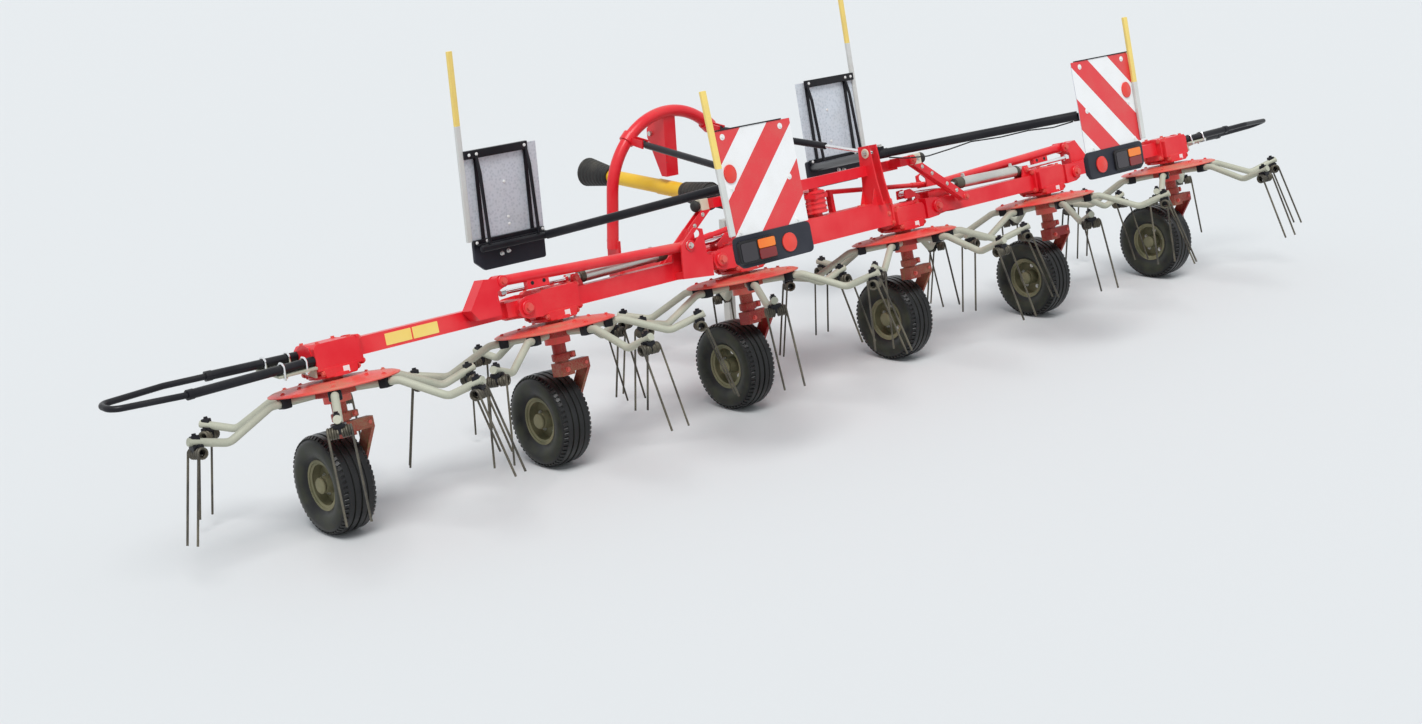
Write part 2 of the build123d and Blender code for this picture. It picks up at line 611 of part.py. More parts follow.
# Drawbar frame: two tubes from the arch's feet to the neck plate, which turns on the kingpin
def drawbar_frame():
    foot_face = LOWER_SPREAD - FOOT_T - SEAT
    start = (NECK_X, NECK_Y, DRAW_Z)
    end = (foot_face, ARCH_Y, DRAW_END_Z)
    draw = Plane(origin=start, z_dir=[b - a for a, b in zip(start, end)])
    tube = draw * extrude(Rectangle(2 * DRAW_HALF, 2 * DRAW_HALF), amount=math.dist(start, end) + 60)
    low, high = DRAW_END_Z - 200, DRAW_END_Z + 200
    tube = tube - block(foot_face, foot_face + 300, ARCH_Y - 300, ARCH_Y + 300, low, high)
    tube = tube - block(0, foot_face + 300, ARCH_Y + 40, ARCH_Y + 300, low, high)
    cheek = block(NECK_X - 10, NECK_X + 10, NECK_Y - NECK_DEEP, NECK_Y + NECK_DEEP, DRAW_Z - 34,
                  NECK_Z + NECK_T)
    right = tube + cheek
    neck_side = NECK_X + 10
    neck_points = [(-40, 10), (40, 10), (neck_side, NECK_Y - NECK_DEEP), (neck_side, NECK_Y + NECK_DEEP),
                   (-neck_side, NECK_Y + NECK_DEEP), (-neck_side, NECK_Y - NECK_DEEP)]
    neck = extrude(Plane.XY.offset(NECK_Z) * make_face(Polyline(*neck_points, close=True)), amount=NECK_T)
    hub = LEANING * rod((0, KING_V, BEAM_TOP + 14), (0, KING_V, CROSS_LOW - 14), 46)
    bore = LEANING * rod((0, KING_V, BEAM_TOP - 20), (0, KING_V, CROSS_LOW + 20), KING_R + RUN)
    cross = block(-foot_face, foot_face, STAND_Y - 25, STAND_Y + 25, LOW_TUBE_Z - 25, LOW_TUBE_Z + 25)
    sleeve = upright_bar(STAND_HALF + 8, LOW_TUBE_Z - 55, LOW_TUBE_Z + 65)
    stand_way = upright_bar(STAND_HALF + SEAT, LOW_TUBE_Z - 100, LOW_TUBE_Z + 400)
    return joined([right, other_side(right), neck, hub, cross, sleeve]) - bore - stand_way


def hitch_pins():
    tip = LOWER_SPREAD + LOWER_PIN_LONG
    lower = rod((LOWER_SPREAD, ARCH_Y, LOWER_PIN_Z), (tip, ARCH_Y, LOWER_PIN_Z), LOWER_PIN_R)
    return Compound(lower.solids() + other_side(lower).solids())


def parking_stand():
    return upright_bar(STAND_HALF, 8, STAND_TOP) + upright_bar(75, 0, 10)


# Damper strut on the right-hand side, between the arch and a tower
DAMPER_FRONT = Vector(DAMPER_X, DAMPER_Y, DAMPER_Z)
DAMPER_BACK = Vector(*upright(TOWER_X, PIN_V, PIN_W))
DAMPER_WAY = (DAMPER_BACK - DAMPER_FRONT).normalized()


def damper_barrel():
    start = DAMPER_FRONT + DAMPER_WAY * 36
    end = DAMPER_FRONT + DAMPER_WAY * DAMPER_BARREL_LONG
    neck = rod(tuple(DAMPER_FRONT + DAMPER_WAY * 6), tuple(start + DAMPER_WAY * 3), 9)
    eye = rod((DAMPER_X - 12.7, DAMPER_Y, DAMPER_Z), (DAMPER_X + 12.7, DAMPER_Y, DAMPER_Z), 18)
    body = joined([eye, neck, rod(tuple(start), tuple(end), DAMPER_R)])
    inner = DAMPER_FRONT + DAMPER_WAY * 80
    past = end + DAMPER_WAY * 5
    return body - rod(tuple(inner), tuple(past), DAMPER_ROD_R + RUN)


def damper_rod():
    start = DAMPER_FRONT + DAMPER_WAY * 420
    back = DAMPER_BACK
    eye = rod((back.X - 10, back.Y, back.Z), (back.X + 10, back.Y, back.Z), 17)
    return eye + rod(tuple(start), tuple(back - DAMPER_WAY * 6), DAMPER_ROD_R)


# Drive shaft with its yellow guard and black bells
def shaft_point(share):
    return tuple(Vector(*SHAFT_START) + (Vector(*SHAFT_END) - Vector(*SHAFT_START)) * share)


def shaft_guard():
    tube = rod(shaft_point(0.14), shaft_point(0.86), SHAFT_GUARD_R)
    yoke = rod(shaft_point(0.86), shaft_point(1.0), 30)
    bore = rod(shaft_point(0.95), shaft_point(1.01), SHAFT_BORE_R)
    return tube + yoke - bore


def shaft_bells():
    solids = []
    for wide, narrow in ((0.0, 0.14), (0.97, 0.86)):
        start = Vector(*shaft_point(wide))
        end = Vector(*shaft_point(narrow))
        way = end - start
        from_foot = (Align.CENTER, Align.CENTER, Align.MIN)
        cone = Cone(SHAFT_CONE_R, SHAFT_GUARD_R + 6, way.length, align=from_foot)
        bell = Plane(origin=start, z_dir=way) * cone
        if wide > 0.5:
            bell = bell - rod(shaft_point(0.84), shaft_point(1.0), 30 + SEAT)
        solids += bell.solids()
    return Compound(solids)


# Warning panels, light boards, lamps, poles and the tubes that carry them
def rear_panel():
    x, v, w = BACK_PANEL
    return block(x - PANEL / 2, x + PANEL / 2, v - PANEL_T, v, w - PANEL / 2, w + PANEL / 2)


def rear_board():
    x, v, w = BACK_PANEL
    top = w - PANEL / 2 - SEAT
    return block(x - BOARD_HALF, x + BOARD_HALF, v - 10, v - 10 + BOARD_T, top - BOARD_HIGH, top)


def rear_lenses(side, lamp_x):
    """Lamp and two round reflectors of one rear panel, drawn on its own side."""
    x, v, w = BACK_PANEL
    mid = w - PANEL / 2 - BOARD_HIGH / 2
    face = v - 10 - SEAT
    lamp = block(lamp_x - LAMP_WIDE / 2, lamp_x + LAMP_WIDE / 2, face - 12, face, mid - 34, mid + 34)
    low_reflector = across(x - 88, mid, face - 8, face, REFLECTOR_R)
    high_reflector = across(x + PANEL / 2 - 68, w + 22, v - PANEL_T - 8, v - PANEL_T, REFLECTOR_R)
    solids = lamp.solids() + low_reflector.solids() + high_reflector.solids()
    return solids if side > 0 else [other_side(solid) for solid in solids]


def rear_pole():
    x, v, w = BACK_PANEL
    edge = x + PANEL / 2 + SEAT
    return block(edge, edge + 2 * POLE_HALF, v - 8, v + 8, w - PANEL / 2, w + PANEL / 2 + BACK_POLE_OVER)


def front_place(row):
    side, x, y, z, lean = row
    return Location((side * x, y, z), (-lean, 0, 0))


def front_carrier_end(row):
    side, x, y, z, lean = row
    return (side * (x - 190), y - 60, z - PANEL / 2 - 30)


def panel_carriers():
    solids = []
    for row in FRONT_PANELS:
        side = row[0]
        clamp_x = TOWER_X + TOWER_GAP / 2 + TOWER_T
        clamp = LEANING * block(clamp_x, clamp_x + 44, -70, -31, PIN_W - 24, PIN_W + 20)
        start = upright(clamp_x + 22, -50, PIN_W - 2)
        back = upright(BACK_PANEL[0] - 140, BACK_PANEL[1] + 70, BACK_PANEL[2] - 40)
        rear = rod(start, back, CARRIER_R)
        hold = LEANING * block(BACK_PANEL[0] - 165, BACK_PANEL[0] + 165, BACK_PANEL[1], BACK_PANEL[1] + 82,
                               BACK_PANEL[2] - 60, BACK_PANEL[2] - 20)
        right = joined([clamp, rear, hold])
        if side < 0:
            right = other_side(right)
        forward = LEANING * block(clamp_x, clamp_x + 44, -30, 8, PIN_W - 24, PIN_W + 20)
        if side < 0:
            forward = other_side(forward)
        x, y, z = upright(clamp_x + 22, -11, PIN_W - 2)
        front = rod((side * x, y, z), front_carrier_end(row), CARRIER_R)
        shelf = front_place(row) * block(-200, 200, -62, 0, -PANEL / 2 - 48, -PANEL / 2 - 12)
        solids += right.solids() + joined([forward, front, shelf]).solids()
    return Compound(solids)


def front_panels():
    solids = []
    for row in FRONT_PANELS:
        sheet = block(-PANEL / 2, PANEL / 2, 0, PANEL_T, -PANEL / 2, PANEL / 2)
        solids += (front_place(row) * sheet).solids()
    return Compound(solids)


def light_boards():
    solids = (LEANING * rear_board()).solids() + other_side(LEANING * rear_board()).solids()
    for row in FRONT_PANELS:
        top = -PANEL / 2 - SEAT
        board = block(-BOARD_HALF, BOARD_HALF, SEAT, BOARD_T, top - BOARD_HIGH - 40, top)
        solids += (front_place(row) * board).solids()
    return Compound(solids)


def lamp_lenses():
    solids = [LEANING * lens for side, lamp_x in REAR_LAMPS for lens in rear_lenses(side, lamp_x)]
    for row in FRONT_PANELS:
        low = -PANEL / 2 - BOARD_HIGH / 2 - 20
        face = BOARD_T + SEAT
        solids.append(front_place(row) * block(-50, 50, face, face + 12, low - 34, low + 34))
    return Compound([solid for lens in solids for solid in lens.solids()])


def marker_poles():
    solids = (LEANING * rear_pole()).solids() + other_side(LEANING * rear_pole()).solids()
    for row in FRONT_PANELS:
        side = row[0]
        edge = PANEL / 2 + SEAT
        x0, x1 = sorted((side * edge, side * (edge + 2 * POLE_HALF)))
        pole = block(x0, x1, -6, 10, -PANEL / 2, PANEL / 2 + FRONT_POLE_OVER)
        solids += (front_place(row) * pole).solids()
    return Compound(solids)


# Every node
save("centre_frame", LEANING * centre_frame())
save("centre_gearbox", centre_gearbox())
save("transport_buffers", LEANING * buffers())
save("headstock_arch", headstock_arch())
save("drawbar_frame", drawbar_frame())
save("hitch_pins", hitch_pins())
save("parking_stand", parking_stand())
save("shaft_guard", shaft_guard())
save("shaft_bells", shaft_bells())
save("panel_carriers", panel_carriers())
rear = LEANING * rear_panel()
save("rear_panels", Compound(rear.solids() + other_side(rear).solids()))
save("front_panels", front_panels())
save("light_boards", light_boards())
save("lamp_lenses", lamp_lenses())
save("marker_poles", marker_poles())

# Wings and their linkage are turned round for the left, the dampers are mirrored
WING_PIECES = [("inner_wing", inner_wing), ("outer_wing", outer_wing), ("end_guard", end_guard),
               ("link_tube", link_tube), ("cylinder_barrel", cylinder_barrel), ("cylinder_rod", cylinder_rod)]
for name, build in WING_PIECES:
    shape = build()
    save(f"{name}_right", LEANING * shape)
    save(f"{name}_left", LEANING * turned_round(shape))
for name, build in (("damper_barrel", damper_barrel), ("damper_rod", damper_rod)):
    shape = build()
    save(f"{name}_right", shape)
    save(f"{name}_left", other_side(shape))

leg = wheel_leg()
disc = rotor_disc()
arms = tine_arms()
wheel_tyre = tyre()
wheel_rim = rim()
save("centre_wheel_legs", Compound([solid for number in (3, 4)
                                    for solid in (LEANING * Pos(rotor_x(number), 0, 0) * leg).solids()]))
for number in range(1, ROTORS + 1):
    place = LEANING * Pos(rotor_x(number), 0, 0)
    phase = Rot(0, 0, 180 / ARMS * ((number + 1) % 2))
    save(f"rotor_disc_{number}", place * disc)
    save(f"tine_arms_{number}", place * phase * arms)
    save(f"tyre_{number}", place * wheel_tyre)
    save(f"rim_{number}", place * wheel_rim)
    if number not in (3, 4):
        save(f"wheel_leg_{number}", place * leg)

# The row's origin lies under the middle of the whole machine, so every node shifts back by half
# the difference between its front and back reach.
reach = Compound([solid for solids in NODES.values() for solid in solids]).bounding_box()
MIDDLE_Y = (reach.min.Y + reach.max.Y) / 2
print("middle", MIDDLE_Y, "reach", reach.min, reach.max)
for name, solids in NODES.items():
    placed = [Pos(0, -MIDDLE_Y, 0) * solid for solid in solids]
    export_step(Compound(placed) if len(placed) > 1 else placed[0], f"parts/{name}.step")
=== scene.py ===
# %% [markdown]
# # A rotary hay tedder
#
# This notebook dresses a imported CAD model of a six-rotor hay tedder: beams, gearboxes, tine rotors,
# small wheels, an arch that is lifted from the front, and warning panels. The CAD already has the true
# shapes and places, so Blender adds what CAD leaves out: rounded edges, springs, tread, bolts, hoses and
# paint. Everything is in metres, in the same frame as the CAD, so no piece needs fitting by eye.

# %% Load the model
import json
import math

import bmesh
import bpy
from mathutils import Matrix, Vector


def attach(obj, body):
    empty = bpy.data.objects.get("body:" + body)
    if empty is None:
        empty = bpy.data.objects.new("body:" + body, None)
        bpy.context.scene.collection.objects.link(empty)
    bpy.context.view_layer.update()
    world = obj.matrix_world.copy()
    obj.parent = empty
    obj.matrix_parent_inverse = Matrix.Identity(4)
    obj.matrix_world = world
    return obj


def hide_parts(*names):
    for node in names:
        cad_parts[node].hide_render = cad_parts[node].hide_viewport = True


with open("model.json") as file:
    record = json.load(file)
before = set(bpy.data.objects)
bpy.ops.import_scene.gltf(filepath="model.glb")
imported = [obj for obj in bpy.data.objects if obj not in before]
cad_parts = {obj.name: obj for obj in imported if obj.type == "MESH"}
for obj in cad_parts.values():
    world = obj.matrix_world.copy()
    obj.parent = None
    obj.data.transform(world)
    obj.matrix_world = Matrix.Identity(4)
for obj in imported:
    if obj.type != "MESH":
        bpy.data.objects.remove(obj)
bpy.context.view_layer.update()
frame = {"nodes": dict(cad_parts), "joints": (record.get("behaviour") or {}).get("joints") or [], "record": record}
JOINTS = {joint["name"]: joint for joint in frame["joints"]}

# %% [markdown]
# The beams and rotors lean forward together. Drawing each of their pieces in that lean would be hard, so
# this cell makes one matrix from a leaning frame (x to the right, v forward along the lean, w up along the
# rotor axes) to the model's own frame. Both directions come from a rotor's joint, not from a typed angle.

# %% The leaning frame
PITCH = 1.076
AXIS_W = 0.109
ROTOR_LINE = Vector(JOINTS["rotor_turn_1"]["pos_m"])
UP = Vector(JOINTS["rotor_turn_1"]["axis"])
FORE = Vector((0, UP.z, -UP.y))
LEANING = Matrix(((1, 0, 0, 0), (0, FORE.y, UP.y, ROTOR_LINE.y), (0, FORE.z, UP.z, ROTOR_LINE.z),
                  (0, 0, 0, 1)))
TURNED_ROUND = Matrix.Rotation(math.pi, 4, "Z")
MIRRORED = Matrix.Diagonal((-1, 1, 1, 1))
SIDES = {"right": Matrix(), "left": TURNED_ROUND}
ROTORS = range(1, 7)
CARRIERS = {1: "outer_wing_left", 2: "inner_wing_left", 3: "centre",
            4: "centre", 5: "inner_wing_right", 6: "outer_wing_right"}


def rotor_x(number):
    """Place of a rotor along the machine, counted from 1 on the left."""
    return (number - 3.5) * PITCH


def at(x, v, w):
    """A point of the leaning frame, in the model's frame."""
    return LEANING @ Vector((x, v, w))


def rotor_seat(number):
    """The leaning frame, moved along to a rotor's axis."""
    return LEANING @ Matrix.Translation((rotor_x(number), 0, 0))


def arm_phase(number):
    """Angle of a rotor's first arm: each second rotor stands half an arm further round."""
    return math.radians(30 * ((number + 1) % 2))


print("lean", round(math.degrees(math.atan2(UP.y, UP.z)), 2), "degrees")

# %% [markdown]
# A camera comes first, because every later judgement is made through it. It stands behind the left wing,
# a little above head height, and is rolled a few degrees.

# %% Camera
FOCAL_PIXELS = 1986.146
IMAGE_WIDE = 1422
SENSOR = 36.0
CAMERA_PLACE = Vector((-6.4295, -6.6083 - 0.4892, 2.6335))
AZIMUTH, ELEVATION, ROLL = -40.645, 15.141, -3.58


def place_camera(place, azimuth, elevation, roll):
    """Camera at a place that looks back along an azimuth and an elevation, with a roll."""
    a, e, r = (math.radians(angle) for angle in (azimuth, elevation, roll))
    back = Vector((math.sin(a) * math.cos(e), -math.cos(a) * math.cos(e), math.sin(e)))
    level = Vector((math.cos(a), math.sin(a), 0))
    over = back.cross(level)
    right = level * math.cos(r) + over * math.sin(r)
    up = back.cross(right)
    data = bpy.data.cameras.new("camera")
    data.sensor_width = SENSOR
    data.lens = FOCAL_PIXELS / IMAGE_WIDE * SENSOR
    camera = bpy.data.objects.new("camera", data)
    camera.matrix_world = Matrix.Translation(place) @ Matrix((right, up, back)).transposed().to_4x4()
    bpy.context.scene.collection.objects.link(camera)
    bpy.context.scene.camera = camera
    return camera


camera = place_camera(CAMERA_PLACE, AZIMUTH, ELEVATION, ROLL)
print("lens", round(camera.data.lens, 2), "mm")

# %% [markdown]
# Shader maths reads badly as a row of node calls. A small class that wraps one socket lets Python's own
# signs stand for Math nodes, so that a mask can be written as 1 - dirt. One method makes any other node.

# %% Shader maths
class Value:
    """A socket of a shader, on which Python's signs add Math nodes."""

    def __init__(self, tree, socket):
        self.tree = tree
        self.socket = socket

    def node(self, kind, settings, sockets, out=0):
        """Make a node of a kind with its settings, and fill its sockets with numbers or links."""
        made = self.tree.nodes.new(kind)
        for name, setting in settings.items():
            if name == "stops":
                ramp = made.color_ramp
                while len(ramp.elements) < len(setting):
                    ramp.elements.new(1)
                for element, (place, color) in zip(ramp.elements, setting):
                    element.position = place
                    element.color = (*color, 1) if hasattr(color, "__len__") else (color, color, color, 1)
            else:
                setattr(made, name, setting)
        for name, value in sockets.items():
            if isinstance(value, Value):
                self.tree.links.new(value.socket, made.inputs[name])
            elif hasattr(value, "__len__") and made.inputs[name].type == "RGBA":
                made.inputs[name].default_value = (*value, 1)
            else:
                made.inputs[name].default_value = value
        return Value(self.tree, made.outputs[out])

    def math(self, operation, *others):
        return self.node("ShaderNodeMath", {"operation": operation}, dict(enumerate((self, *others))))

    def __add__(self, other):
        return self.math("ADD", other)

    __radd__ = __add__

    def __mul__(self, other):
        return self.math("MULTIPLY", other)

    __rmul__ = __mul__

    def __sub__(self, other):
        return self.math("SUBTRACT", other)

    def __rsub__(self, other):
        return (self * -1.0) + other

    def __truediv__(self, other):
        return self.math("DIVIDE", other)

    def above(self, other):
        return self.math("GREATER_THAN", other)

    def mix(self, low, high):
        """Colour that goes from low to high as this value goes from 0 to 1."""
        return self.node("ShaderNodeMix", {"data_type": "RGBA"}, {0: self, 6: low, 7: high}, out=2)

    def ramp(self, *stops):
        return self.node("ShaderNodeValToRGB", {"stops": stops}, {0: self})

    def dot(self, direction):
        settings = {"operation": "DOT_PRODUCT"}
        return self.node("ShaderNodeVectorMath", settings, {0: self, 1: direction}, out=1)


# %% [markdown]
# Every finish starts from the same three readings: where a point is, a coarse cloud for faded or dirty
# patches, and a fine grain for dust and scratches. A finish is then a short function of those readings.
# Object coordinates are used because each mesh keeps its place in itself, so a pattern never slides.

# %% A finish from position, cloud and grain
class Finish:
    """A material with the readings that its colour, roughness and bump are made from."""

    def __init__(self, name, **constants):
        self.material = bpy.data.materials.new(name)
        self.material.use_nodes = True
        tree = self.material.node_tree
        self.shader = tree.nodes["Principled BSDF"]
        coordinates = tree.nodes.new("ShaderNodeTexCoord")
        self.place = Value(tree, coordinates.outputs["Object"])
        self.normal = Value(tree, coordinates.outputs["Normal"])
        self.x, self.y, self.z = self.split(self.place)
        for socket, value in constants.items():
            label = socket.replace("_", " ").title().replace("Ior", "IOR")
            self.shader.inputs[label].default_value = value

    def split(self, vector):
        parts = vector.node("ShaderNodeSeparateXYZ", {}, {0: vector})
        return [Value(vector.tree, parts.socket.node.outputs[axis]) for axis in range(3)]

    def noise(self, scale, detail=3.0, stretch=(1, 1, 1)):
        where = self.place.node("ShaderNodeMapping", {}, {"Vector": self.place, "Scale": stretch})
        return where.node("ShaderNodeTexNoise", {}, {"Vector": where, "Scale": scale, "Detail": detail})

    def flakes(self, scale):
        return self.place.node("ShaderNodeTexVoronoi", {}, {"Vector": self.place, "Scale": scale})

    def facing_up(self, *stops):
        """Mask of the faces that look up, where dust settles."""
        return self.split(self.normal)[2].ramp(*stops)

    def feed(self, **sockets):
        names = {"color": "Base Color", "rough": "Roughness", "metal": "Metallic", "normal": "Normal"}
        for name, value in sockets.items():
            self.material.node_tree.links.new(value.socket, self.shader.inputs[names[name]])
        return self

    def bump(self, height, strength=0.3, distance=0.002):
        settings = {"Height": height, "Strength": strength, "Distance": distance}
        return height.node("ShaderNodeBump", {}, settings)


FINISHES = {}


def keep(slot, finish):
    FINISHES[slot] = finish.material


# %% [markdown]
# The tedder's red paint is glossy and a little faded. Hay dust and dried sap lie on faces that look up
# and low down near the rotors, small chips show primer, and rain has left faint vertical streaks.
# One function makes each red, so the beams, castings, discs and legs differ in colour and in dirt; the legs' much
# darker red also holds painted shade from under the discs.

# %% Red paint
DUST, SAP, PRIMER = (0.34, 0.27, 0.16), (0.16, 0.19, 0.05), (0.18, 0.13, 0.11)


def red_paint(name, color, faded, dirt, rough):
    finish = Finish(name, coat_weight=0.12, coat_roughness=0.15, specular_ior_level=0.35)
    cloud = finish.noise(5.0, 4.0)
    grain = finish.noise(260.0, 2.0)
    streaks = finish.noise(42.0, 3.0, stretch=(1, 1, 0.12))
    paint = cloud.ramp((0.35, color), (0.75, faded))
    facing_up = finish.facing_up((0.15, 0.0), (0.95, 1.0))
    low_down = finish.z.ramp((0.35, 1.0), (0.8, 0.0))
    dust = (cloud * 0.7 + grain * 0.6).ramp((0.62, 0.0), (0.86, 1.0))
    film = (dust * (facing_up * 0.55 + low_down * 0.6 + 0.08) * dirt).math("MINIMUM", 0.85)
    sap = streaks.ramp((0.62, 0.0), (0.74, 1.0)) * low_down * 0.35 * dirt
    chip = finish.flakes(95.0).math("LESS_THAN", 0.16) * finish.noise(13.0).above(0.69)
    stained = sap.mix(film.mix(paint, DUST), SAP)
    return finish.feed(color=chip.mix(stained, PRIMER),
                       rough=film * 0.4 + grain * 0.12 + chip * 0.2 + (rough - 0.05),
                       normal=finish.bump(grain * 0.25 + cloud * 0.4 - chip * 0.6, 0.18, 0.0006))


REDS = {
    "frame_red": ("beam_red_paint", (0.73, 0.006, 0.018), (0.82, 0.040, 0.050), 0.40, 0.32),
    "gear_red": ("casting_red_paint", (0.71, 0.007, 0.018), (0.80, 0.040, 0.050), 0.6, 0.40),
    "disc_red": ("disc_red_paint", (0.76, 0.060, 0.050), (0.86, 0.150, 0.120), 1.2, 0.42),
    # The legs' red is far darker than the beams': partly dirt, partly painted shade, because the legs stand under
    # the discs.
    "leg_red": ("leg_red_with_painted_shade", (0.27, 0.008, 0.006), (0.40, 0.018, 0.012), 1.3, 0.45),
    "bolt_red": ("bolt_red_paint", (0.70, 0.07, 0.06), (0.78, 0.14, 0.11), 0.4, 0.35),
}
for slot, row in REDS.items():
    keep(slot, red_paint(*row))
print(len(REDS), "reds")

# %% [markdown]
# Metal parts differ in how they were treated. Galvanised sheet has pale crystals of zinc, called spangle,
# which a cell pattern gives. Spring steel is dark from heat. Chrome stays clean where a seal wipes it, and
# the arms' zinc is dulled by sap and dust, so it is nearly a matt beige.

# %% Bare and plated metals
def metal(name, dark, light, rough, spangle=0.0, dirt=0.0, metallic=1.0):
    finish = Finish(name)
    cloud = finish.noise(9.0, 4.0)
    grain = finish.noise(420.0, 2.0, stretch=(1, 1, 0.3))
    crystals = finish.flakes(60.0).ramp((0.0, 0.0), (0.6, 1.0))
    shade = cloud * (1 - spangle) + crystals * spangle
    color = shade.ramp((0.25, dark), (0.75, light))
    film = (cloud * 0.6 + grain * 0.5).ramp((0.45, 0.0), (0.75, 1.0)) * dirt
    return finish.feed(color=film.mix(color, (0.25, 0.22, 0.13)),
                       rough=shade * 0.18 + film * 0.3 + (rough - 0.08), metal=(1 - film) * metallic,
                       normal=finish.bump(grain * 0.5 + shade * 0.5, 0.12, 0.0004))


METALS = {
    "steel": (("plated_steel", (0.50, 0.49, 0.46), (0.72, 0.71, 0.68), 0.32), {"dirt": 0.25}),
    "rod_chrome": (("chromed_rod", (0.74, 0.74, 0.75), (0.86, 0.86, 0.87), 0.12), {}),
    "arm_grey": (("dusty_zinc_arm", (0.40, 0.41, 0.32), (0.58, 0.58, 0.48), 0.6),
                 {"dirt": 0.35, "metallic": 0.2}),
    "spring_steel": (("dark_spring_steel", (0.035, 0.032, 0.028), (0.10, 0.09, 0.075), 0.45),
                     {"dirt": 0.4, "metallic": 0.6}),
    "zinc_sheet": (("galvanised_sheet", (0.52, 0.56, 0.60), (0.74, 0.77, 0.80), 0.45),
                   {"spangle": 0.65, "metallic": 0.55}),
    "rim": (("sap_stained_rim", (0.10, 0.10, 0.05), (0.24, 0.23, 0.13), 0.6), {"dirt": 0.8, "metallic": 0.2}),
}
for slot, (row, options) in METALS.items():
    keep(slot, metal(*row, **options))
print(len(METALS), "metals")

# %% [markdown]
# Black parts are told apart by gloss: painted tubes shine in a long line, rubber is dull and greyer where
# it is dusty, and the lamp boards are a blue-grey plastic. A yellow guard and the pale boot are plastics too.

# %% Plastics, rubber and black paint
def plain(name, color, worn, rough, dirt=0.3, coat=0.0, gloss=0.3):
    finish = Finish(name, coat_weight=coat, coat_roughness=0.2, specular_ior_level=gloss)
    cloud = finish.noise(7.0, 4.0)
    grain = finish.noise(330.0, 2.0)
    tone = cloud.ramp((0.3, color), (0.8, worn))
    facing_up = finish.facing_up((0.1, 0.15), (1.0, 1.0))
    film = (cloud * 0.5 + grain * 0.55).ramp((0.48, 0.0), (0.8, 1.0)) * facing_up * dirt
    return finish.feed(color=film.mix(tone, (0.30, 0.27, 0.18)),
                       rough=film * 0.35 + grain * 0.12 + (rough - 0.06),
                       normal=finish.bump(grain, 0.15, 0.0005))


def tyre_rubber():
    """Shiny black rubber, stained green on the sides where sap dries."""
    finish = Finish("tyre_rubber", specular_ior_level=0.32)
    cloud = finish.noise(16.0, 4.0)
    grain = finish.noise(330.0, 2.0)
    sideways = finish.split(finish.normal)[0].math("ABSOLUTE").ramp((0.75, 0.0), (0.95, 1.0))
    stain = (cloud * 0.7 + grain * 0.4).ramp((0.40, 0.0), (0.70, 1.0)) * (sideways * 0.65 + 0.05)
    tone = cloud.ramp((0.3, (0.006, 0.006, 0.007)), (0.8, (0.013, 0.013, 0.015)))
    return finish.feed(color=stain.mix(tone, (0.045, 0.049, 0.024)), rough=stain * 0.3 + grain * 0.12 + 0.26,
                       normal=finish.bump(grain, 0.12, 0.0005))


PLAINS = {
    "black_tube": (("black_tube_paint", (0.006, 0.006, 0.009), (0.016, 0.016, 0.021), 0.34),
                   {"dirt": 0.10, "gloss": 0.22}),
    "board": (("lamp_board_plastic", (0.020, 0.021, 0.030), (0.034, 0.037, 0.050), 0.45),
              {"dirt": 0.15, "gloss": 0.2}),
    "black_gloss": (("smoked_lamp_cover", (0.006, 0.003, 0.008), (0.012, 0.006, 0.014), 0.08),
                    {"dirt": 0.05, "coat": 0.5, "gloss": 0.5}),
    "black_plastic": (("lamp_housing_plastic", (0.008, 0.008, 0.010), (0.018, 0.018, 0.02), 0.3),
                      {"dirt": 0.15}),
    "rubber": (("moulded_rubber", (0.014, 0.014, 0.015), (0.035, 0.034, 0.033), 0.62), {}),
    "hose": (("hose_rubber", (0.010, 0.010, 0.011), (0.028, 0.028, 0.03), 0.42), {"dirt": 0.2}),
    "shaft_yellow": (("guard_yellow", (0.80, 0.46, 0.012), (0.88, 0.58, 0.05), 0.42), {"dirt": 0.35}),
    "amber_lens": (("amber_lens", (0.86, 0.16, 0.008), (0.92, 0.26, 0.02), 0.12), {"dirt": 0.1, "coat": 0.6}),
    "lens": (("red_lens", (0.72, 0.02, 0.012), (0.80, 0.05, 0.03), 0.14), {"dirt": 0.1, "coat": 0.6}),
    "dark_lens": (("dark_red_lens", (0.16, 0.004, 0.006), (0.24, 0.01, 0.012), 0.12),
                  {"dirt": 0.1, "coat": 0.6}),
    "white_patch": (("white_patch", (0.80, 0.80, 0.78), (0.88, 0.88, 0.86), 0.4), {"dirt": 0.2}),
    "yellow_patch": (("yellow_patch", (0.88, 0.64, 0.16), (0.92, 0.72, 0.24), 0.4), {"dirt": 0.25}),
    "zinc_block": (("cream_block", (0.62, 0.54, 0.40), (0.76, 0.70, 0.56), 0.45), {"dirt": 0.3}),
}
for slot, (row, options) in PLAINS.items():
    keep(slot, plain(*row, **options))
keep("tyre", tyre_rubber())
print(len(PLAINS) + 1, "plastics, rubbers and black paints")

# %% [markdown]
# The warning panels are sheets with red and white bars at 45 degrees on the side that traffic sees, and bare
# zinc on the other. A bar pattern is one number: how far a point lies across the bars, cut by a fraction.
# Both panels of a pair mirror each other, so the pattern counts from a panel's outer edge.

# %% Striped panels
PANEL = 0.423
BAR_PAIR = 0.69
SHEET_ZINC = ((0.50, 0.56, 0.62), (0.68, 0.73, 0.79))
BAR_RED = (0.73, 0.034, 0.042)
BAR_WHITE = (0.86, 0.86, 0.86)
BACK_X, BACK_V, BACK_W = 1.115, -0.900, 0.456
PANEL_LOW = BACK_W - PANEL / 2


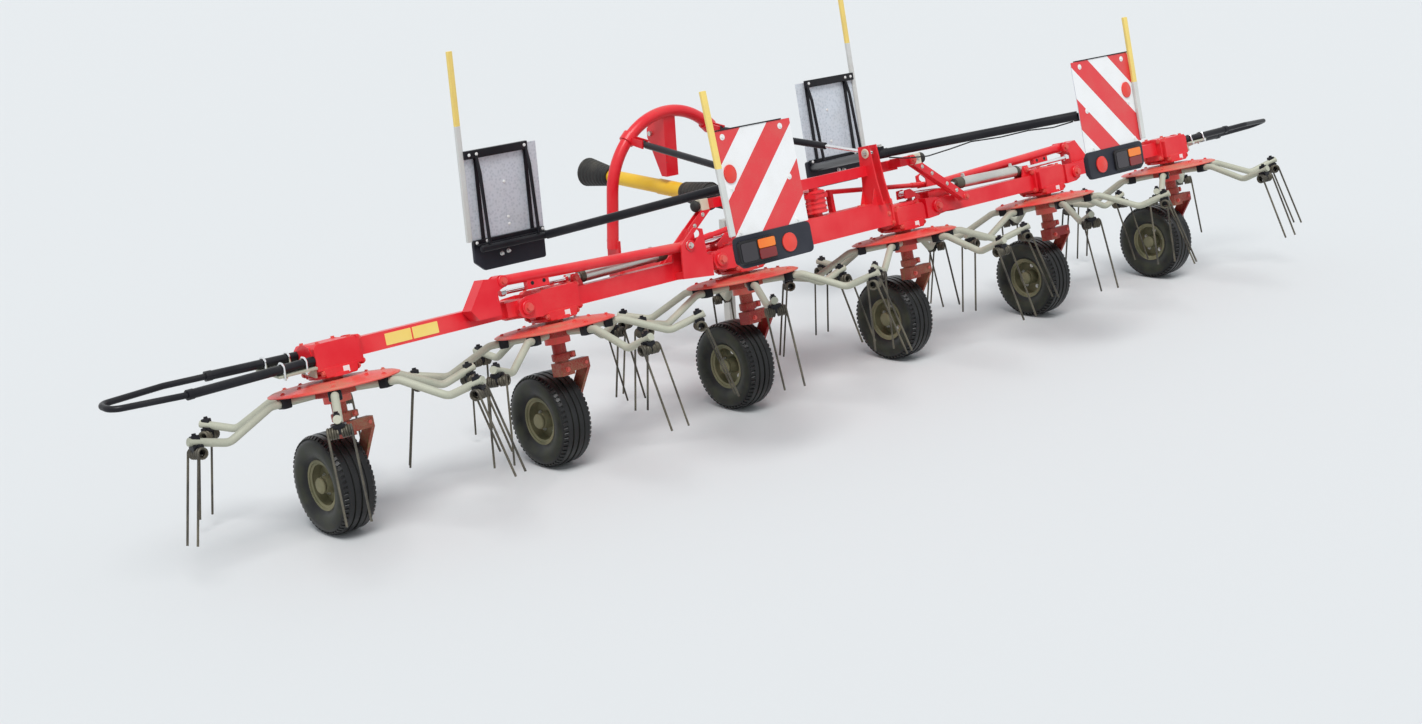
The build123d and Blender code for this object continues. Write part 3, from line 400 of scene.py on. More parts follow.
def striped_sheet(name, layout, facing):
    """Bars on the faces that look along facing, zinc on the rest. The layout gives edge, foot and height."""
    finish = Finish(name, coat_weight=0.15, coat_roughness=0.2)
    outer_x, low, height = layout(finish)
    across_bars = (outer_x - finish.x.math("ABSOLUTE")) / PANEL - (height - low) / PANEL
    red = (across_bars / BAR_PAIR).math("FRACT").above(0.5)
    printed = finish.normal.dot(facing).above(0.5)
    cloud = finish.noise(8.0, 4.0)
    grain = finish.noise(300.0, 2.0)
    crystals = finish.flakes(70.0).ramp((0.0, SHEET_ZINC[0]), (0.6, SHEET_ZINC[1]))
    bars = red.mix(BAR_WHITE, BAR_RED)
    film = (cloud * 0.6 + grain * 0.5).ramp((0.5, 0.0), (0.85, 1.0)) * 0.22
    return finish.feed(color=film.mix(printed.mix(crystals, bars), (0.40, 0.36, 0.26)),
                       rough=grain * 0.15 + film * 0.3 + 0.3, metal=(1 - printed) * 0.25,
                       normal=finish.bump(grain * 0.6 + cloud, 0.1, 0.0005))


def rear_layout(finish):
    return 1.3055, PANEL_LOW, finish.place.dot(UP) - UP.dot(ROTOR_LINE)


def front_layout(finish):
    """The right front panel stands further out and higher than the left one."""
    right = finish.x.above(0)
    return right * 0.182 + 1.2195, right * 0.042 + 0.7865, finish.z


keep("warning_sheet", striped_sheet("rear_warning_sheet", rear_layout, -FORE))
keep("zinc_panel", striped_sheet("front_warning_sheet", front_layout, Vector((0, 1, 0))))

# %% Two-colour poles
POLE_WHITE, POLE_YELLOW = (0.66, 0.67, 0.65), (0.91, 0.68, 0.18)


def marker_pole():
    """White below, yellow above, with the change at another height on the front poles."""
    finish = Finish("marker_pole_plastic")
    cloud = finish.noise(9.0)
    grain = finish.noise(300.0, 2.0)
    change = finish.y.above(0) * (finish.x.above(0) * 0.08 + 0.016) + 1.324
    color = finish.z.above(change).mix(POLE_WHITE, POLE_YELLOW)
    film = (cloud * 0.6 + grain * 0.5).ramp((0.45, 0.0), (0.85, 1.0)) * 0.3
    return finish.feed(color=film.mix(color, (0.36, 0.33, 0.22)), rough=grain * 0.2 + 0.36)


keep("pole", marker_pole())
print(len(FINISHES), "finishes")

# %% [markdown]
# The CAD pieces keep their own meshes and only take a finish. Each one names its finish in the record, so one
# short table changes the few that need another look here.

# %% Finishes on the CAD pieces
OWN_FINISH = {"front_panels": "zinc_panel"}
for part in frame["record"]["subparts"]:
    slot_name = OWN_FINISH.get(part["node"], part["material_slot"])
    mesh = frame["nodes"][part["node"]].data
    mesh.materials.clear()
    mesh.materials.append(FINISHES[slot_name])

# %% [markdown]
# Three helpers finish every new piece. The first marks edges sharper than an angle, so round parts shade
# smoothly and corners stay crisp. The second lets wide faces keep their direction. The last puts a mesh in
# its place, gives it a finish, and lets it ride on its body.

# %% Placing a piece
FLAT_FACES_BELOW = 2500


def crease(mesh, degrees):
    """Smooth shading, with edges over an angle kept sharp."""
    shape = bmesh.new()
    shape.from_mesh(mesh)
    limit = math.radians(degrees)
    for face in shape.faces:
        face.smooth = True
    for edge in shape.edges:
        edge.smooth = len(edge.link_faces) == 2 and edge.calc_face_angle(0) < limit
    shape.to_mesh(mesh)
    shape.free()


def flatten(mesh):
    """Let wide faces keep their own direction, so that a rounded rim doesn't shade across them."""
    holder = bpy.data.objects.new("holder", mesh)
    bpy.context.scene.collection.objects.link(holder)
    weights = holder.modifiers.new("flats", "WEIGHTED_NORMAL")
    weights.keep_sharp = True
    bpy.context.view_layer.update()
    shaded = bpy.data.meshes.new_from_object(holder.evaluated_get(bpy.context.evaluated_depsgraph_get()))
    bpy.data.objects.remove(holder)
    return shaded


def place(name, mesh, slot_name, body, matrix=Matrix(), sharp=35, replaces=()):
    """Put a mesh where it belongs, finish it and let it ride on a body."""
    mesh.transform(matrix)
    if matrix.determinant() < 0:
        mesh.flip_normals()
    crease(mesh, sharp)
    if len(mesh.polygons) < FLAT_FACES_BELOW:
        mesh = flatten(mesh)
    mesh.materials.clear()
    mesh.materials.append(FINISHES[slot_name])
    piece = bpy.data.objects.new(name, mesh)
    bpy.context.scene.collection.objects.link(piece)
    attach(piece, body)
    if replaces:
        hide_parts(*replaces)
    return piece


# %% [markdown]
# Three small Geometry Nodes trees make all that repeats or follows a line: a tube along a line of edges, a
# ring of copies, and bolts at marked points. Each has named inputs for its sizes. A tree's result is read
# from the evaluated object as a plain mesh, so no modifier is left on a piece.

# %% Building and running a tree
FLOAT, WHOLE, MATERIAL = "NodeSocketFloat", "NodeSocketInt", "NodeSocketMaterial"


def new_tree(name, inputs):
    """A tree with its named inputs and a material, which gives the tree and its inputs' sockets."""
    tree = bpy.data.node_groups.new(name, "GeometryNodeTree")
    tree.interface.new_socket("Geometry", in_out="INPUT", socket_type="NodeSocketGeometry")
    tree.interface.new_socket("Geometry", in_out="OUTPUT", socket_type="NodeSocketGeometry")
    for label, (kind, value) in inputs.items():
        tree.interface.new_socket(label, in_out="INPUT", socket_type=kind).default_value = value
    tree.interface.new_socket("Finish", in_out="INPUT", socket_type=MATERIAL)
    return tree, tree.nodes.new("NodeGroupInput").outputs


def link(tree, kind, sockets, **settings):
    """A node of a kind in a tree, with settings, numbers and links, which gives its first output."""
    made = tree.nodes.new(kind)
    for name, value in settings.items():
        setattr(made, name, value)
    for name, value in sockets.items():
        if isinstance(value, bpy.types.NodeSocket):
            tree.links.new(value, made.inputs[name])
        else:
            made.inputs[name].default_value = value
    return made.outputs[0]


def end_tree(tree, geometry, finish):
    """Set the material, and end the tree there."""
    done = link(tree, "GeometryNodeSetMaterial", {"Geometry": geometry, "Material": finish})
    tree.links.new(done, tree.nodes.new("NodeGroupOutput").inputs["Geometry"])
    return tree


def run(tree, mesh, **values):
    """The mesh that a tree makes from a mesh."""
    start = bpy.data.objects.new("start", mesh)
    bpy.context.scene.collection.objects.link(start)
    modifier = start.modifiers.new("tree", "NODES")
    modifier.node_group = tree
    for item in tree.interface.items_tree:
        if item.in_out == "INPUT" and item.name in values:
            modifier[item.identifier] = values[item.name]
    evaluated = start.evaluated_get(bpy.context.evaluated_depsgraph_get())
    result = bpy.data.meshes.new_from_object(evaluated)
    bpy.data.objects.remove(start)
    return result


# %% The three trees
def tube_tree():
    sizes = {"Radius": (FLOAT, 0.01), "Bend": (FLOAT, 0.0), "Sides": (WHOLE, 12)}
    tree, given = new_tree("tube_along_edges", sizes)
    line = link(tree, "GeometryNodeMeshToCurve", {"Mesh": given["Geometry"]})
    corners = {"Curve": line, "Radius": given["Bend"], "Count": 6, "Limit Radius": True}
    bent = link(tree, "GeometryNodeFilletCurve", corners, mode="POLY")
    section = {"Resolution": given["Sides"], "Radius": given["Radius"]}
    ring = link(tree, "GeometryNodeCurvePrimitiveCircle", section)
    skin = {"Curve": bent, "Profile Curve": ring, "Fill Caps": True}
    return end_tree(tree, link(tree, "GeometryNodeCurveToMesh", skin), given["Finish"])


def ring_tree():
    tree, given = new_tree("ring_of_copies", {"Copies": (WHOLE, 6)})
    dots = link(tree, "GeometryNodePoints", {"Count": given["Copies"]})
    number = link(tree, "GeometryNodeInputIndex", {})
    turn = link(tree, "ShaderNodeMath", {0: 2 * math.pi, 1: given["Copies"]}, operation="DIVIDE")
    angle = link(tree, "ShaderNodeMath", {0: number, 1: turn}, operation="MULTIPLY")
    rotation = link(tree, "ShaderNodeCombineXYZ", {"Z": angle})
    seats = {"Points": dots, "Instance": given["Geometry"], "Rotation": rotation}
    copies = link(tree, "GeometryNodeInstanceOnPoints", seats)
    return end_tree(tree, link(tree, "GeometryNodeRealizeInstances", {"Geometry": copies}), given["Finish"])


def bolt_tree():
    sizes = {"Head": (FLOAT, 0.01), "Height": (FLOAT, 0.007), "Washer": (FLOAT, 0.0125)}
    tree, given = new_tree("bolts_at_points", sizes)
    hexagon = {"Vertices": 6, "Radius": given["Head"], "Depth": given["Height"]}
    head = link(tree, "GeometryNodeMeshCylinder", hexagon, fill_type="TRIANGLE_FAN")
    disc = {"Vertices": 16, "Radius": given["Washer"], "Depth": 0.0025}
    washer = link(tree, "GeometryNodeMeshCylinder", disc, fill_type="TRIANGLE_FAN")
    half = link(tree, "ShaderNodeMath", {0: given["Height"], 1: 0.5}, operation="MULTIPLY")
    lift = link(tree, "ShaderNodeCombineXYZ", {"Z": half})
    raised = link(tree, "GeometryNodeTransform", {"Geometry": head, "Translation": lift})
    both = tree.nodes.new("GeometryNodeJoinGeometry")
    tree.links.new(raised, both.inputs[0])
    tree.links.new(washer, both.inputs[0])
    axis = link(tree, "GeometryNodeInputNamedAttribute", {"Name": "axis"}, data_type="FLOAT_VECTOR")
    turned = link(tree, "FunctionNodeAlignRotationToVector", {"Vector": axis}, axis="Z")
    seats = {"Points": given["Geometry"], "Instance": both.outputs[0], "Rotation": turned}
    copies = link(tree, "GeometryNodeInstanceOnPoints", seats)
    return end_tree(tree, link(tree, "GeometryNodeRealizeInstances", {"Geometry": copies}), given["Finish"])


TUBE = tube_tree()
RING = ring_tree()
BOLTS = bolt_tree()
print("trees", [tree.name for tree in (TUBE, RING, BOLTS)])

# %% Meshes that the trees start from
def line_mesh(*lines):
    """Edges through rows of points."""
    mesh = bpy.data.meshes.new("line")
    points, edges = [], []
    for line in lines:
        edges += [(len(points) + i, len(points) + i + 1) for i in range(len(line) - 1)]
        points += [tuple(point) for point in line]
    mesh.from_pydata(points, edges, [])
    return mesh


def tube(lines, radius, bend=0.0, sides=12):
    return run(TUBE, line_mesh(*lines), Radius=radius, Bend=bend, Sides=sides)


FRAME_BOLT, SMALL_NUT = (0.0085, 0.008, 0.0125), (0.0075, 0.007, 0.011)


def bolted(places, head, height, washer):
    """Bolt heads with washers, each at a point and with its direction."""
    mesh = bpy.data.meshes.new("points")
    mesh.from_pydata([tuple(point) for point, axis in places], [], [])
    marks = mesh.attributes.new("axis", "FLOAT_VECTOR", "POINT")
    for mark, (point, axis) in zip(marks.data, places):
        mark.vector = axis
    return run(BOLTS, mesh, Head=head, Height=height, Washer=washer)


# %% Simple meshes
def to_mesh(name, shape):
    mesh = bpy.data.meshes.new(name)
    shape.to_mesh(mesh)
    shape.free()
    return mesh


def merged(*meshes):
    """Several meshes as one."""
    shape = bmesh.new()
    for mesh in meshes:
        shape.from_mesh(mesh)
    return to_mesh("merged", shape)


def moved(mesh, *matrices):
    """A mesh after it went through matrices, the last one first."""
    whole = Matrix()
    for matrix in matrices:
        whole = whole @ matrix
    mesh.transform(whole)
    return mesh


def rounded_box(low, high, radius, segments=2):
    """Box with rounded edges."""
    shape = bmesh.new()
    bmesh.ops.create_cube(shape, size=1.0)
    low, high = Vector(low), Vector(high)
    for vertex in shape.verts:
        vertex.co = Vector([(low[i] + high[i]) / 2 + vertex.co[i] * (high[i] - low[i]) for i in range(3)])
    bmesh.ops.bevel(shape, geom=shape.edges[:], offset=radius, segments=segments, profile=0.5, affect="EDGES")
    return to_mesh("box", shape)


def lathe(profile, steps=48):
    """Closed profile of (radius, height) points turned round Z."""
    shape = bmesh.new()
    rings = []
    for step in range(steps):
        angle = 2 * math.pi * step / steps
        rings.append([shape.verts.new((r * math.cos(angle), r * math.sin(angle), h)) for r, h in profile])
    for here, there in zip(rings, rings[1:] + rings[:1]):
        for i, j in zip(range(len(profile)), [*range(1, len(profile)), 0]):
            shape.faces.new((here[i], there[i], there[j], here[j]))
    bmesh.ops.remove_doubles(shape, verts=shape.verts[:], dist=1e-6)
    bmesh.ops.dissolve_degenerate(shape, dist=1e-6, edges=shape.edges[:])
    bmesh.ops.recalc_face_normals(shape, faces=shape.faces[:])
    return to_mesh("lathe", shape)


# %% [markdown]
# ## Tine arms
#
# Under each disc six cranked tubes point outwards. Each ends in a clamp with two coil springs whose long legs
# are the tines. The CAD has plain drums in place of the coils, so this step replaces its arms. One arm is
# made once from lines of edges and copied round the rotor by the ring tree, which keeps all arms alike.

# %% One arm
ARM_PATH = [(0.083, 0, -0.028), (0.285, 0, -0.028), (0.480, 0, -0.120), (0.640, 0, -0.078)]
COIL_AT = Vector((0.612, 0, -0.128))
COIL_R, WIRE_R, COIL_LONG = 0.0192, 0.0047, 0.042
COIL_TURNS, STEPS_A_TURN = 4, 14
TINE_TIP = (0.712, -0.455)


def spring_line(side):
    """Start leg, coil and long tine of one spring, as one line of points."""
    count = COIL_TURNS * STEPS_A_TURN
    points = [COIL_AT + Vector((-0.004, side * 0.008, 0.046))]
    for i in range(count + 1):
        angle = -2 * math.pi * i / STEPS_A_TURN
        out = side * (0.008 + (COIL_LONG - 0.006) * i / count)
        points.append(COIL_AT + Vector((COIL_R * math.cos(angle), out, COIL_R * math.sin(angle))))
    points.append(Vector((TINE_TIP[0], side * 0.044, TINE_TIP[1])))
    return points


arm_tube = tube([ARM_PATH], 0.016, bend=0.06, sides=16)
springs = tube([spring_line(-1), spring_line(1)], WIRE_R, sides=6)
clamp_box = rounded_box((0.594, -0.012, -0.136), (0.630, 0.012, -0.060), 0.004)
clamp_cap = rounded_box((0.590, -0.021, -0.112), (0.634, 0.021, -0.096), 0.004)
strap = rounded_box((0.205, -0.026, -0.050), (0.245, 0.026, -0.008), 0.006)
CLAMP_BOLTS = [((0.612, way * 0.021, -0.104), (0, way, 0)) for way in (-1, 1)]
CLAMP_BOLTS.append(((0.612, 0, -0.060), (0, 0, 1)))
clamps = merged(clamp_box, clamp_cap, strap, bolted(CLAMP_BOLTS, 0.009, 0.008, 0.011))
print("one arm:", len(arm_tube.polygons) + len(springs.polygons), "faces")

# %% Six arms on each rotor
HUB_RING = [(0.056, -0.044), (0.095, -0.044), (0.100, -0.039), (0.100, -0.017), (0.095, -0.012),
            (0.056, -0.012)]
UNITS = {"arms": (merged(arm_tube), "arm_grey"), "springs": (springs, "spring_steel"),
         "clamps": (clamps, "black_tube")}
for number in ROTORS:
    seat = rotor_seat(number) @ Matrix.Rotation(arm_phase(number), 4, "Z")
    body = f"rotor_{number}"
    for name, (unit, slot_name) in UNITS.items():
        node = (f"tine_arms_{number}",) if name == "arms" else ()
        place(f"{name}_{number}", run(RING, unit.copy(), Copies=6), slot_name, body, seat, replaces=node)
    # The hub ring takes the legs' dark red, which holds painted shade from under the disc.
    place(f"hub_ring_{number}", lathe(HUB_RING), "leg_red", body, seat)
print("six rotors dressed")

# %% [markdown]
# ## Tyres
#
# The small tyres have rounded shoulders, four ribs round the tread and short lugs on the shoulders. Profile
# and ribs are turned on a lathe, and one pair of lugs is copied round by the ring tree. A tyre replaces the
# CAD tyre, and turns with its own wheel.

# %% Tyres with their tread
WHEEL_R = 0.205
WHEEL_Y = ROTOR_LINE.y + 0.085
HALF_SECTION = [(0.1035, 0.058), (0.112, 0.066), (0.122, 0.073), (0.140, 0.0805), (0.158, 0.082),
                (0.176, 0.079), (0.189, 0.070), (0.196, 0.055), (0.1985, 0.030)]
TYRE_SECTION = [(r, -h) for r, h in HALF_SECTION] + HALF_SECTION[::-1]
LUG_OFFSET, LUG_HALF, LUG_SLANT, LUG_TIP, LUG_R = 0.062, 0.010, 0.25, 0.5, 0.1945
TREAD_COPIES = 56
RIBS = [(-0.044, 0.012), (-0.0155, 0.0115), (0.0155, 0.0115), (0.044, 0.012)]


def shoulder_lugs():
    """One pair of shoulder lugs, tipped to follow the shoulder."""
    lugs = []
    for sign in (-1, 1):
        lug = rounded_box((-0.009, -0.0075, -LUG_HALF), (0.0045, 0.0075, LUG_HALF), 0.0018, 1)
        tip, slant = Matrix.Rotation(-sign * LUG_TIP, 4, "Y"), Matrix.Rotation(-sign * LUG_SLANT, 4, "X")
        lugs.append(moved(lug, Matrix.Translation((LUG_R, 0, sign * LUG_OFFSET)), tip, slant))
    return merged(*lugs)


def tread_ribs():
    """Four smooth ribs round the tread."""
    rings = []
    for offset, half in RIBS:
        top = 0.2045 if abs(offset) < 0.03 else 0.2030
        edge, low, high = top - 0.0015, offset - half, offset + half
        lower, upper = [(0.196, low), (edge, low), (top, low + 0.0018)], [(top, high - 0.0018), (edge, high)]
        rings.append(lathe([*lower, *upper, (0.196, high)], 96))
    return merged(*rings)


def wheel_seat(number):
    return Matrix.Translation((rotor_x(number), WHEEL_Y, WHEEL_R))


WHEEL_UP = Matrix.Rotation(math.pi / 2, 4, "Y")
lugs = shoulder_lugs()
for number in ROTORS:
    tread = run(RING, lugs.copy(), Copies=TREAD_COPIES)
    place(f"tyre_{number}_dressed", merged(lathe(TYRE_SECTION, 72), tread_ribs(), tread), "tyre",
          f"wheel_{number}", wheel_seat(number) @ WHEEL_UP, replaces=(f"tyre_{number}",))
print("tyre faces", len(tread.polygons))

# %% [markdown]
# ## Gear housings
#
# Each rotor hangs under a cast housing with a flat back, a square flange towards its beam and a bolt in every
# corner of the flange. The CAD has the housing's core; a cast shell with rounded edges goes over it. Shapes
# cut from plate or cast flat come from one helper, which pulls an outline to a thickness and rounds its rims.

# %% Plates from an outline
def rounded_outline(corners, radius, steps=4):
    """Outline with every corner replaced by an arc of a radius."""
    points = []
    count = len(corners)
    for i, corner in enumerate(corners):
        here = Vector(corner)
        before = Vector(corners[i - 1]) - here
        after = Vector(corners[(i + 1) % count]) - here
        angle = before.angle(after)
        reach = min(radius / math.tan(angle / 2), before.length * 0.48, after.length * 0.48)
        start, end = here + before.normalized() * reach, here + after.normalized() * reach
        for step in range(steps + 1):
            t = step / steps
            points.append(tuple(start * (1 - t) ** 2 + here * 2 * t * (1 - t) + end * t ** 2))
    return points


def slab(outline, low, high, rim=0.0, axis="y"):
    """Outline in x and w (or v and w, across x) with a thickness and rounded rims."""
    shape = bmesh.new()
    make = (lambda a, b: (a, low, b)) if axis == "y" else (lambda a, b: (low, a, b))
    face = shape.faces.new([shape.verts.new(make(a, b)) for a, b in outline])
    pulled = bmesh.ops.extrude_face_region(shape, geom=[face])
    way = (0, high - low, 0) if axis == "y" else (high - low, 0, 0)
    far = [item for item in pulled["geom"] if isinstance(item, bmesh.types.BMVert)]
    bmesh.ops.translate(shape, verts=far, vec=way)
    bmesh.ops.recalc_face_normals(shape, faces=shape.faces[:])
    if rim:
        big = [f for f in shape.faces if len(f.verts) == len(outline)]
        edges = list({edge for f in big for edge in f.edges}) if len(outline) > 4 else shape.edges[:]
        bmesh.ops.bevel(shape, geom=edges, offset=rim, segments=2, profile=0.5, affect="EDGES")
    return to_mesh("slab", shape)


def rectangle(x0, x1, w0, w1, radius=0.0, steps=4):
    """Corners of a rectangle, rounded where a radius is given."""
    corners = [(x0, w0), (x1, w0), (x1, w1), (x0, w1)]
    return rounded_outline(corners, radius, steps) if radius else corners


# %% Cast shells, flanges and their bolts
SHELL_HALF, SHOULDER = 0.099, 0.016
TOP_UNDER_ROD, TOP = 0.144, 0.1665
SHELL_LOWER = rounded_outline([(-0.070, 0.0295), (0.070, 0.0295), (0.078, 0.070), (-0.078, 0.070)], 0.010)
FLANGE = rectangle(-0.064, 0.064, 0.050, 0.168, 0.012)
SQUARE = rectangle(0.006, 0.034, 0.036, 0.062, 0.002)
LOWER_BOLTS = [((side * 0.0768, v, 0.050), (side, 0, 0)) for side in (-1, 1) for v in (-0.078, 0.078)]


def shell_outline(top):
    """Upper shell with slanted shoulders, up to a height."""
    right = [(SHELL_HALF, 0.060), (SHELL_HALF, top - SHOULDER), (0.085, top)]
    left = [(-0.085, top), (-SHELL_HALF, top - SHOULDER)]
    return rounded_outline([(-SHELL_HALF, 0.060), *right, *left], 0.007, 3)


for number in ROTORS:
    seat = rotor_seat(number)
    body = CARRIERS[number]
    top = TOP_UNDER_ROD if body == "centre" else TOP
    shell = merged(slab(shell_outline(top), -0.0815, 0.0815, 0.0035), slab(SHELL_LOWER, -0.086, 0.086, 0.005))
    place(f"housing_shell_{number}", shell, "gear_red", body, seat)
    place(f"housing_square_{number}", slab(SQUARE, -0.0872, -0.0855), "white_patch", body, seat)
    inward = 1 if number <= 3 else -1
    spots = LOWER_BOLTS[:]
    if body != "centre":
        low, high = sorted((inward * 0.103, inward * 0.117))
        place(f"housing_flange_{number}", slab(FLANGE, low, high, 0.003, axis="x"), "gear_red", body, seat)
        spots += [((inward * 0.117, v, w), (inward, 0, 0)) for v in (-0.051, 0.051) for w in (0.063, 0.155)]
    spots += [((x, v, top), (0, 0, 1)) for x in (-0.070, 0.070) for v in (-0.062, 0.062)]
    place(f"housing_bolts_{number}", bolted(spots, *FRAME_BOLT), "bolt_red", body, seat)
print("housings dressed")

# %% [markdown]
# ## Joints of the frame
#
# Pins show as round bosses with a paler bolt in the middle, because paint wears off a bolt's head. The
# linkage is turned half round from one side to the other: what is in front on the right is behind on the
# left. So each detail is listed once, for the right side, with the body it rides on.

# %% Bosses, washers and bolts, listed for the right side
FACING = {"w": Matrix(),
          "v": Matrix.Rotation(-math.pi / 2, 4, "X"), "-v": Matrix.Rotation(math.pi / 2, 4, "X"),
          "x": Matrix.Rotation(math.pi / 2, 4, "Y"), "-x": Matrix.Rotation(-math.pi / 2, 4, "Y")}
V_SIGN = {1: "v", -1: "-v"}
FOLD_X, FLOAT_X = 0.715, 1.791
LINK_IN, LINK_OUT, LINK_V = (0.896, 0.204), (1.898, 0.240), 0.077
BRACE_TOP, BRACE_FOOT = (0.575, 0.358), (0.905, 0.122)
CYLINDER_X, CYLINDER_W = 1.480, 0.177


def turned(profile, steps, point, axis):
    """Lathe profile that starts at a point and runs along an axis."""
    return moved(lathe(profile, steps), Matrix.Translation(point), FACING[axis])


def disc_at(x, v, w, radius, thick, axis="v", hole=0.0):
    """Short round boss with a small chamfer, its face at a point, its body towards minus of the axis."""
    edge = min(0.002, thick * 0.4)
    profile = [(hole, -thick), (radius, -thick), (radius, -edge), (radius - edge, 0), (hole, 0)]
    return turned(profile, 28, (x, v, w), axis)


NUTS = {
    "centre": [((FOLD_X, way * 0.102, AXIS_W), way, 0.016) for way in (-1, 1)] + [
        ((BRACE_TOP[0], -0.122, BRACE_TOP[1]), -1, 0.012),
        ((BRACE_FOOT[0], -0.119, BRACE_FOOT[1]), -1, 0.010),
        ((BRACE_FOOT[0], -0.069, BRACE_FOOT[1]), 1, 0.010)],
    "inner_wing": [((FLOAT_X, way * 0.102, AXIS_W), way, 0.016) for way in (-1, 1)] + [
        ((CYLINDER_X, way * 0.034, CYLINDER_W), way, 0.010) for way in (1, -1)],
    "outer_wing": [((LINK_OUT[0], LINK_V + 0.040, LINK_OUT[1]), 1, 0.013),
                   ((LINK_OUT[0], LINK_V - 0.042, LINK_OUT[1]), -1, 0.013)],
}
ROD_START, ROD_END, ROD_LOW, ROD_HIGH = 1.5 * PITCH - 0.104, FLOAT_X + 0.052, 0.1808, 0.187
FITTING = [(0.0, -0.012), (0.0155, -0.012), (0.0155, 0.012), (0.0, 0.012)]
for side, turn in SIDES.items():
    seat = LEANING @ turn
    for group, nuts in NUTS.items():
        body = group if group == "centre" else f"{group}_{side}"
        bosses = [disc_at(*point, size * 1.9, 0.006, V_SIGN[way]) for point, way, size in nuts]
        heads = [bolted([(point, (0, way, 0))], size, size * 0.9, size * 1.35) for point, way, size in nuts]
        place(f"bosses_{body}_{side}", merged(*bosses), "frame_red", body, seat)
        place(f"pin_bolts_{body}_{side}", merged(*heads), "bolt_red", body, seat)
    washers = []
    for v, way in ((LINK_V + 0.0425, 1), (LINK_V - 0.0405, -1)):
        washers.append(disc_at(LINK_IN[0], v, LINK_IN[1], 0.0235, 0.0045, V_SIGN[way]))
        washers.append(bolted([((LINK_IN[0], v, LINK_IN[1]), (0, way, 0))], 0.010, 0.010, 0.014))
    place(f"slot_washers_{side}", merged(*washers), "steel", f"link_tube_{side}", seat)
    hole_w = LINK_OUT[1] - 0.036
    holes = [disc_at(LINK_OUT[0] - dx, LINK_V + way * 0.0146, hole_w, 0.0085, 0.0008, V_SIGN[way])
             for dx in (0.215, 0.155) for way in (-1, 1)]
    place(f"lock_holes_{side}", merged(*holes), "black_plastic", f"link_tube_{side}", seat)
    outer_rod = tube([[(ROD_START, 0, ROD_LOW), (ROD_END, 0, ROD_HIGH)]], 0.0098, sides=16)
    fitting = turned(FITTING, 6, (ROD_END - 0.004, 0, ROD_HIGH), "x")
    place(f"outer_rod_{side}", merged(outer_rod, fitting), "rod_chrome", f"inner_wing_{side}", seat)
print(sum(len(nuts) for nuts in NUTS.values()), "pins a side")

# %% [markdown]
# The two flat bars of each transport brace are drilled all along, and bright where bolts pass. At the brace's
# head a cream block carries a black rubber ball, against which the folded wing rests on the road.

# %% Transport buffers and the braces' bolts
BRACE_V = -0.094
BUFFER_X, BUFFER_W = 0.654, 0.358
BLOCK_LOW = (BRACE_TOP[0] + 0.012, BRACE_V - 0.021, BUFFER_W - 0.026)
BLOCK_HIGH = (BUFFER_X - 0.018, BRACE_V + 0.021, BUFFER_W + 0.026)
ball = bmesh.new()
bmesh.ops.create_uvsphere(ball, u_segments=28, v_segments=16, radius=0.027)
flattened = Matrix.Translation((BUFFER_X, BRACE_V, BUFFER_W)) @ Matrix.Diagonal((0.68, 1, 1, 1))
collar = disc_at(BUFFER_X - 0.010, BRACE_V, BUFFER_W, 0.019, 0.012, "x")
buffer_ball = merged(moved(to_mesh("buffer", ball), flattened), collar)
block_bolt = [((0.612, BRACE_V - 0.021, BUFFER_W + 0.004), (0, -1, 0))]
slope = Vector((BRACE_FOOT[0] - BRACE_TOP[0], BRACE_FOOT[1] - BRACE_TOP[1]))
spacers = []
for share in (0.18, 0.36, 0.64, 0.82):
    x, w = BRACE_TOP[0] + slope.x * share, BRACE_TOP[1] + slope.y * share
    spacers += [((x, BRACE_V + way * 0.020, w), (0, way, 0)) for way in (-1, 1)]
for side, turn in SIDES.items():
    seat = LEANING @ turn
    names = ("transport_buffers",) if side == "right" else ()
    place(f"buffer_ball_{side}", buffer_ball.copy(), "rubber", "centre", seat, sharp=60, replaces=names)
    place(f"buffer_block_{side}", rounded_box(BLOCK_LOW, BLOCK_HIGH, 0.003), "zinc_block", "centre", seat)
    place(f"buffer_bolt_{side}", bolted(block_bolt, 0.0085, 0.007, 0.0135), "steel", "centre", seat)
    place(f"brace_bolts_{side}", bolted(spacers, 0.0065, 0.005, 0.010), "steel", "centre", seat)
print("buffers at", round(BUFFER_X, 3))

# %% [markdown]
# ## Guards at the ends
#
# A hoop at each end keeps people off the outer rotor. Two thick tubes come out of a bracket, and a thinner
# bow slides in them, so the guard can be pushed in for the road. U-bolts hold the tubes. The left hoop lies
# level; the right one is the same part turned half round in the leaning frame, so it tips forward. The bow
# follows a line of points with a bend radius, which is what the tube tree is for.

# %% Hoops in place of the CAD guards
GUARD_Y = ROTOR_LINE.y + 0.022
GUARD_Z = at(0, 0, AXIS_W).z + 0.010
GUARD_START = 2.5 * PITCH + 0.103
SLEEVE_R, BOW_R, COLLAR_R, LOOP_R = 0.0180, 0.0125, 0.0200, 0.0046
LOOP_ARC = [(-0.0215, -0.040), (-0.0215, 0.012), (-0.010, 0.0225), (0.010, 0.0225), (0.0215, 0.012),
            (0.0215, -0.040)]
SLEEVE_START = (GUARD_START - 0.004, 0.0610)
SLEEVES = {-1: [SLEEVE_START, (3.165, 0.0870)], 1: [SLEEVE_START, (3.335, 0.0985)]}
BOW = [(3.12, 0.0838), (3.335, 0.0985), (3.585, 0.056), (3.612, 0.030)]
HALF_TURN = Matrix.Translation((0, GUARD_Y, 0)) @ TURNED_ROUND @ Matrix.Translation((0, -GUARD_Y, 0))
GUARD_TURNS = {"right": LEANING @ TURNED_ROUND @ LEANING.inverted() @ HALF_TURN, "left": HALF_TURN}


def guard_points(row, sign):
    return [(x, GUARD_Y + sign * y, GUARD_Z) for x, y in row]


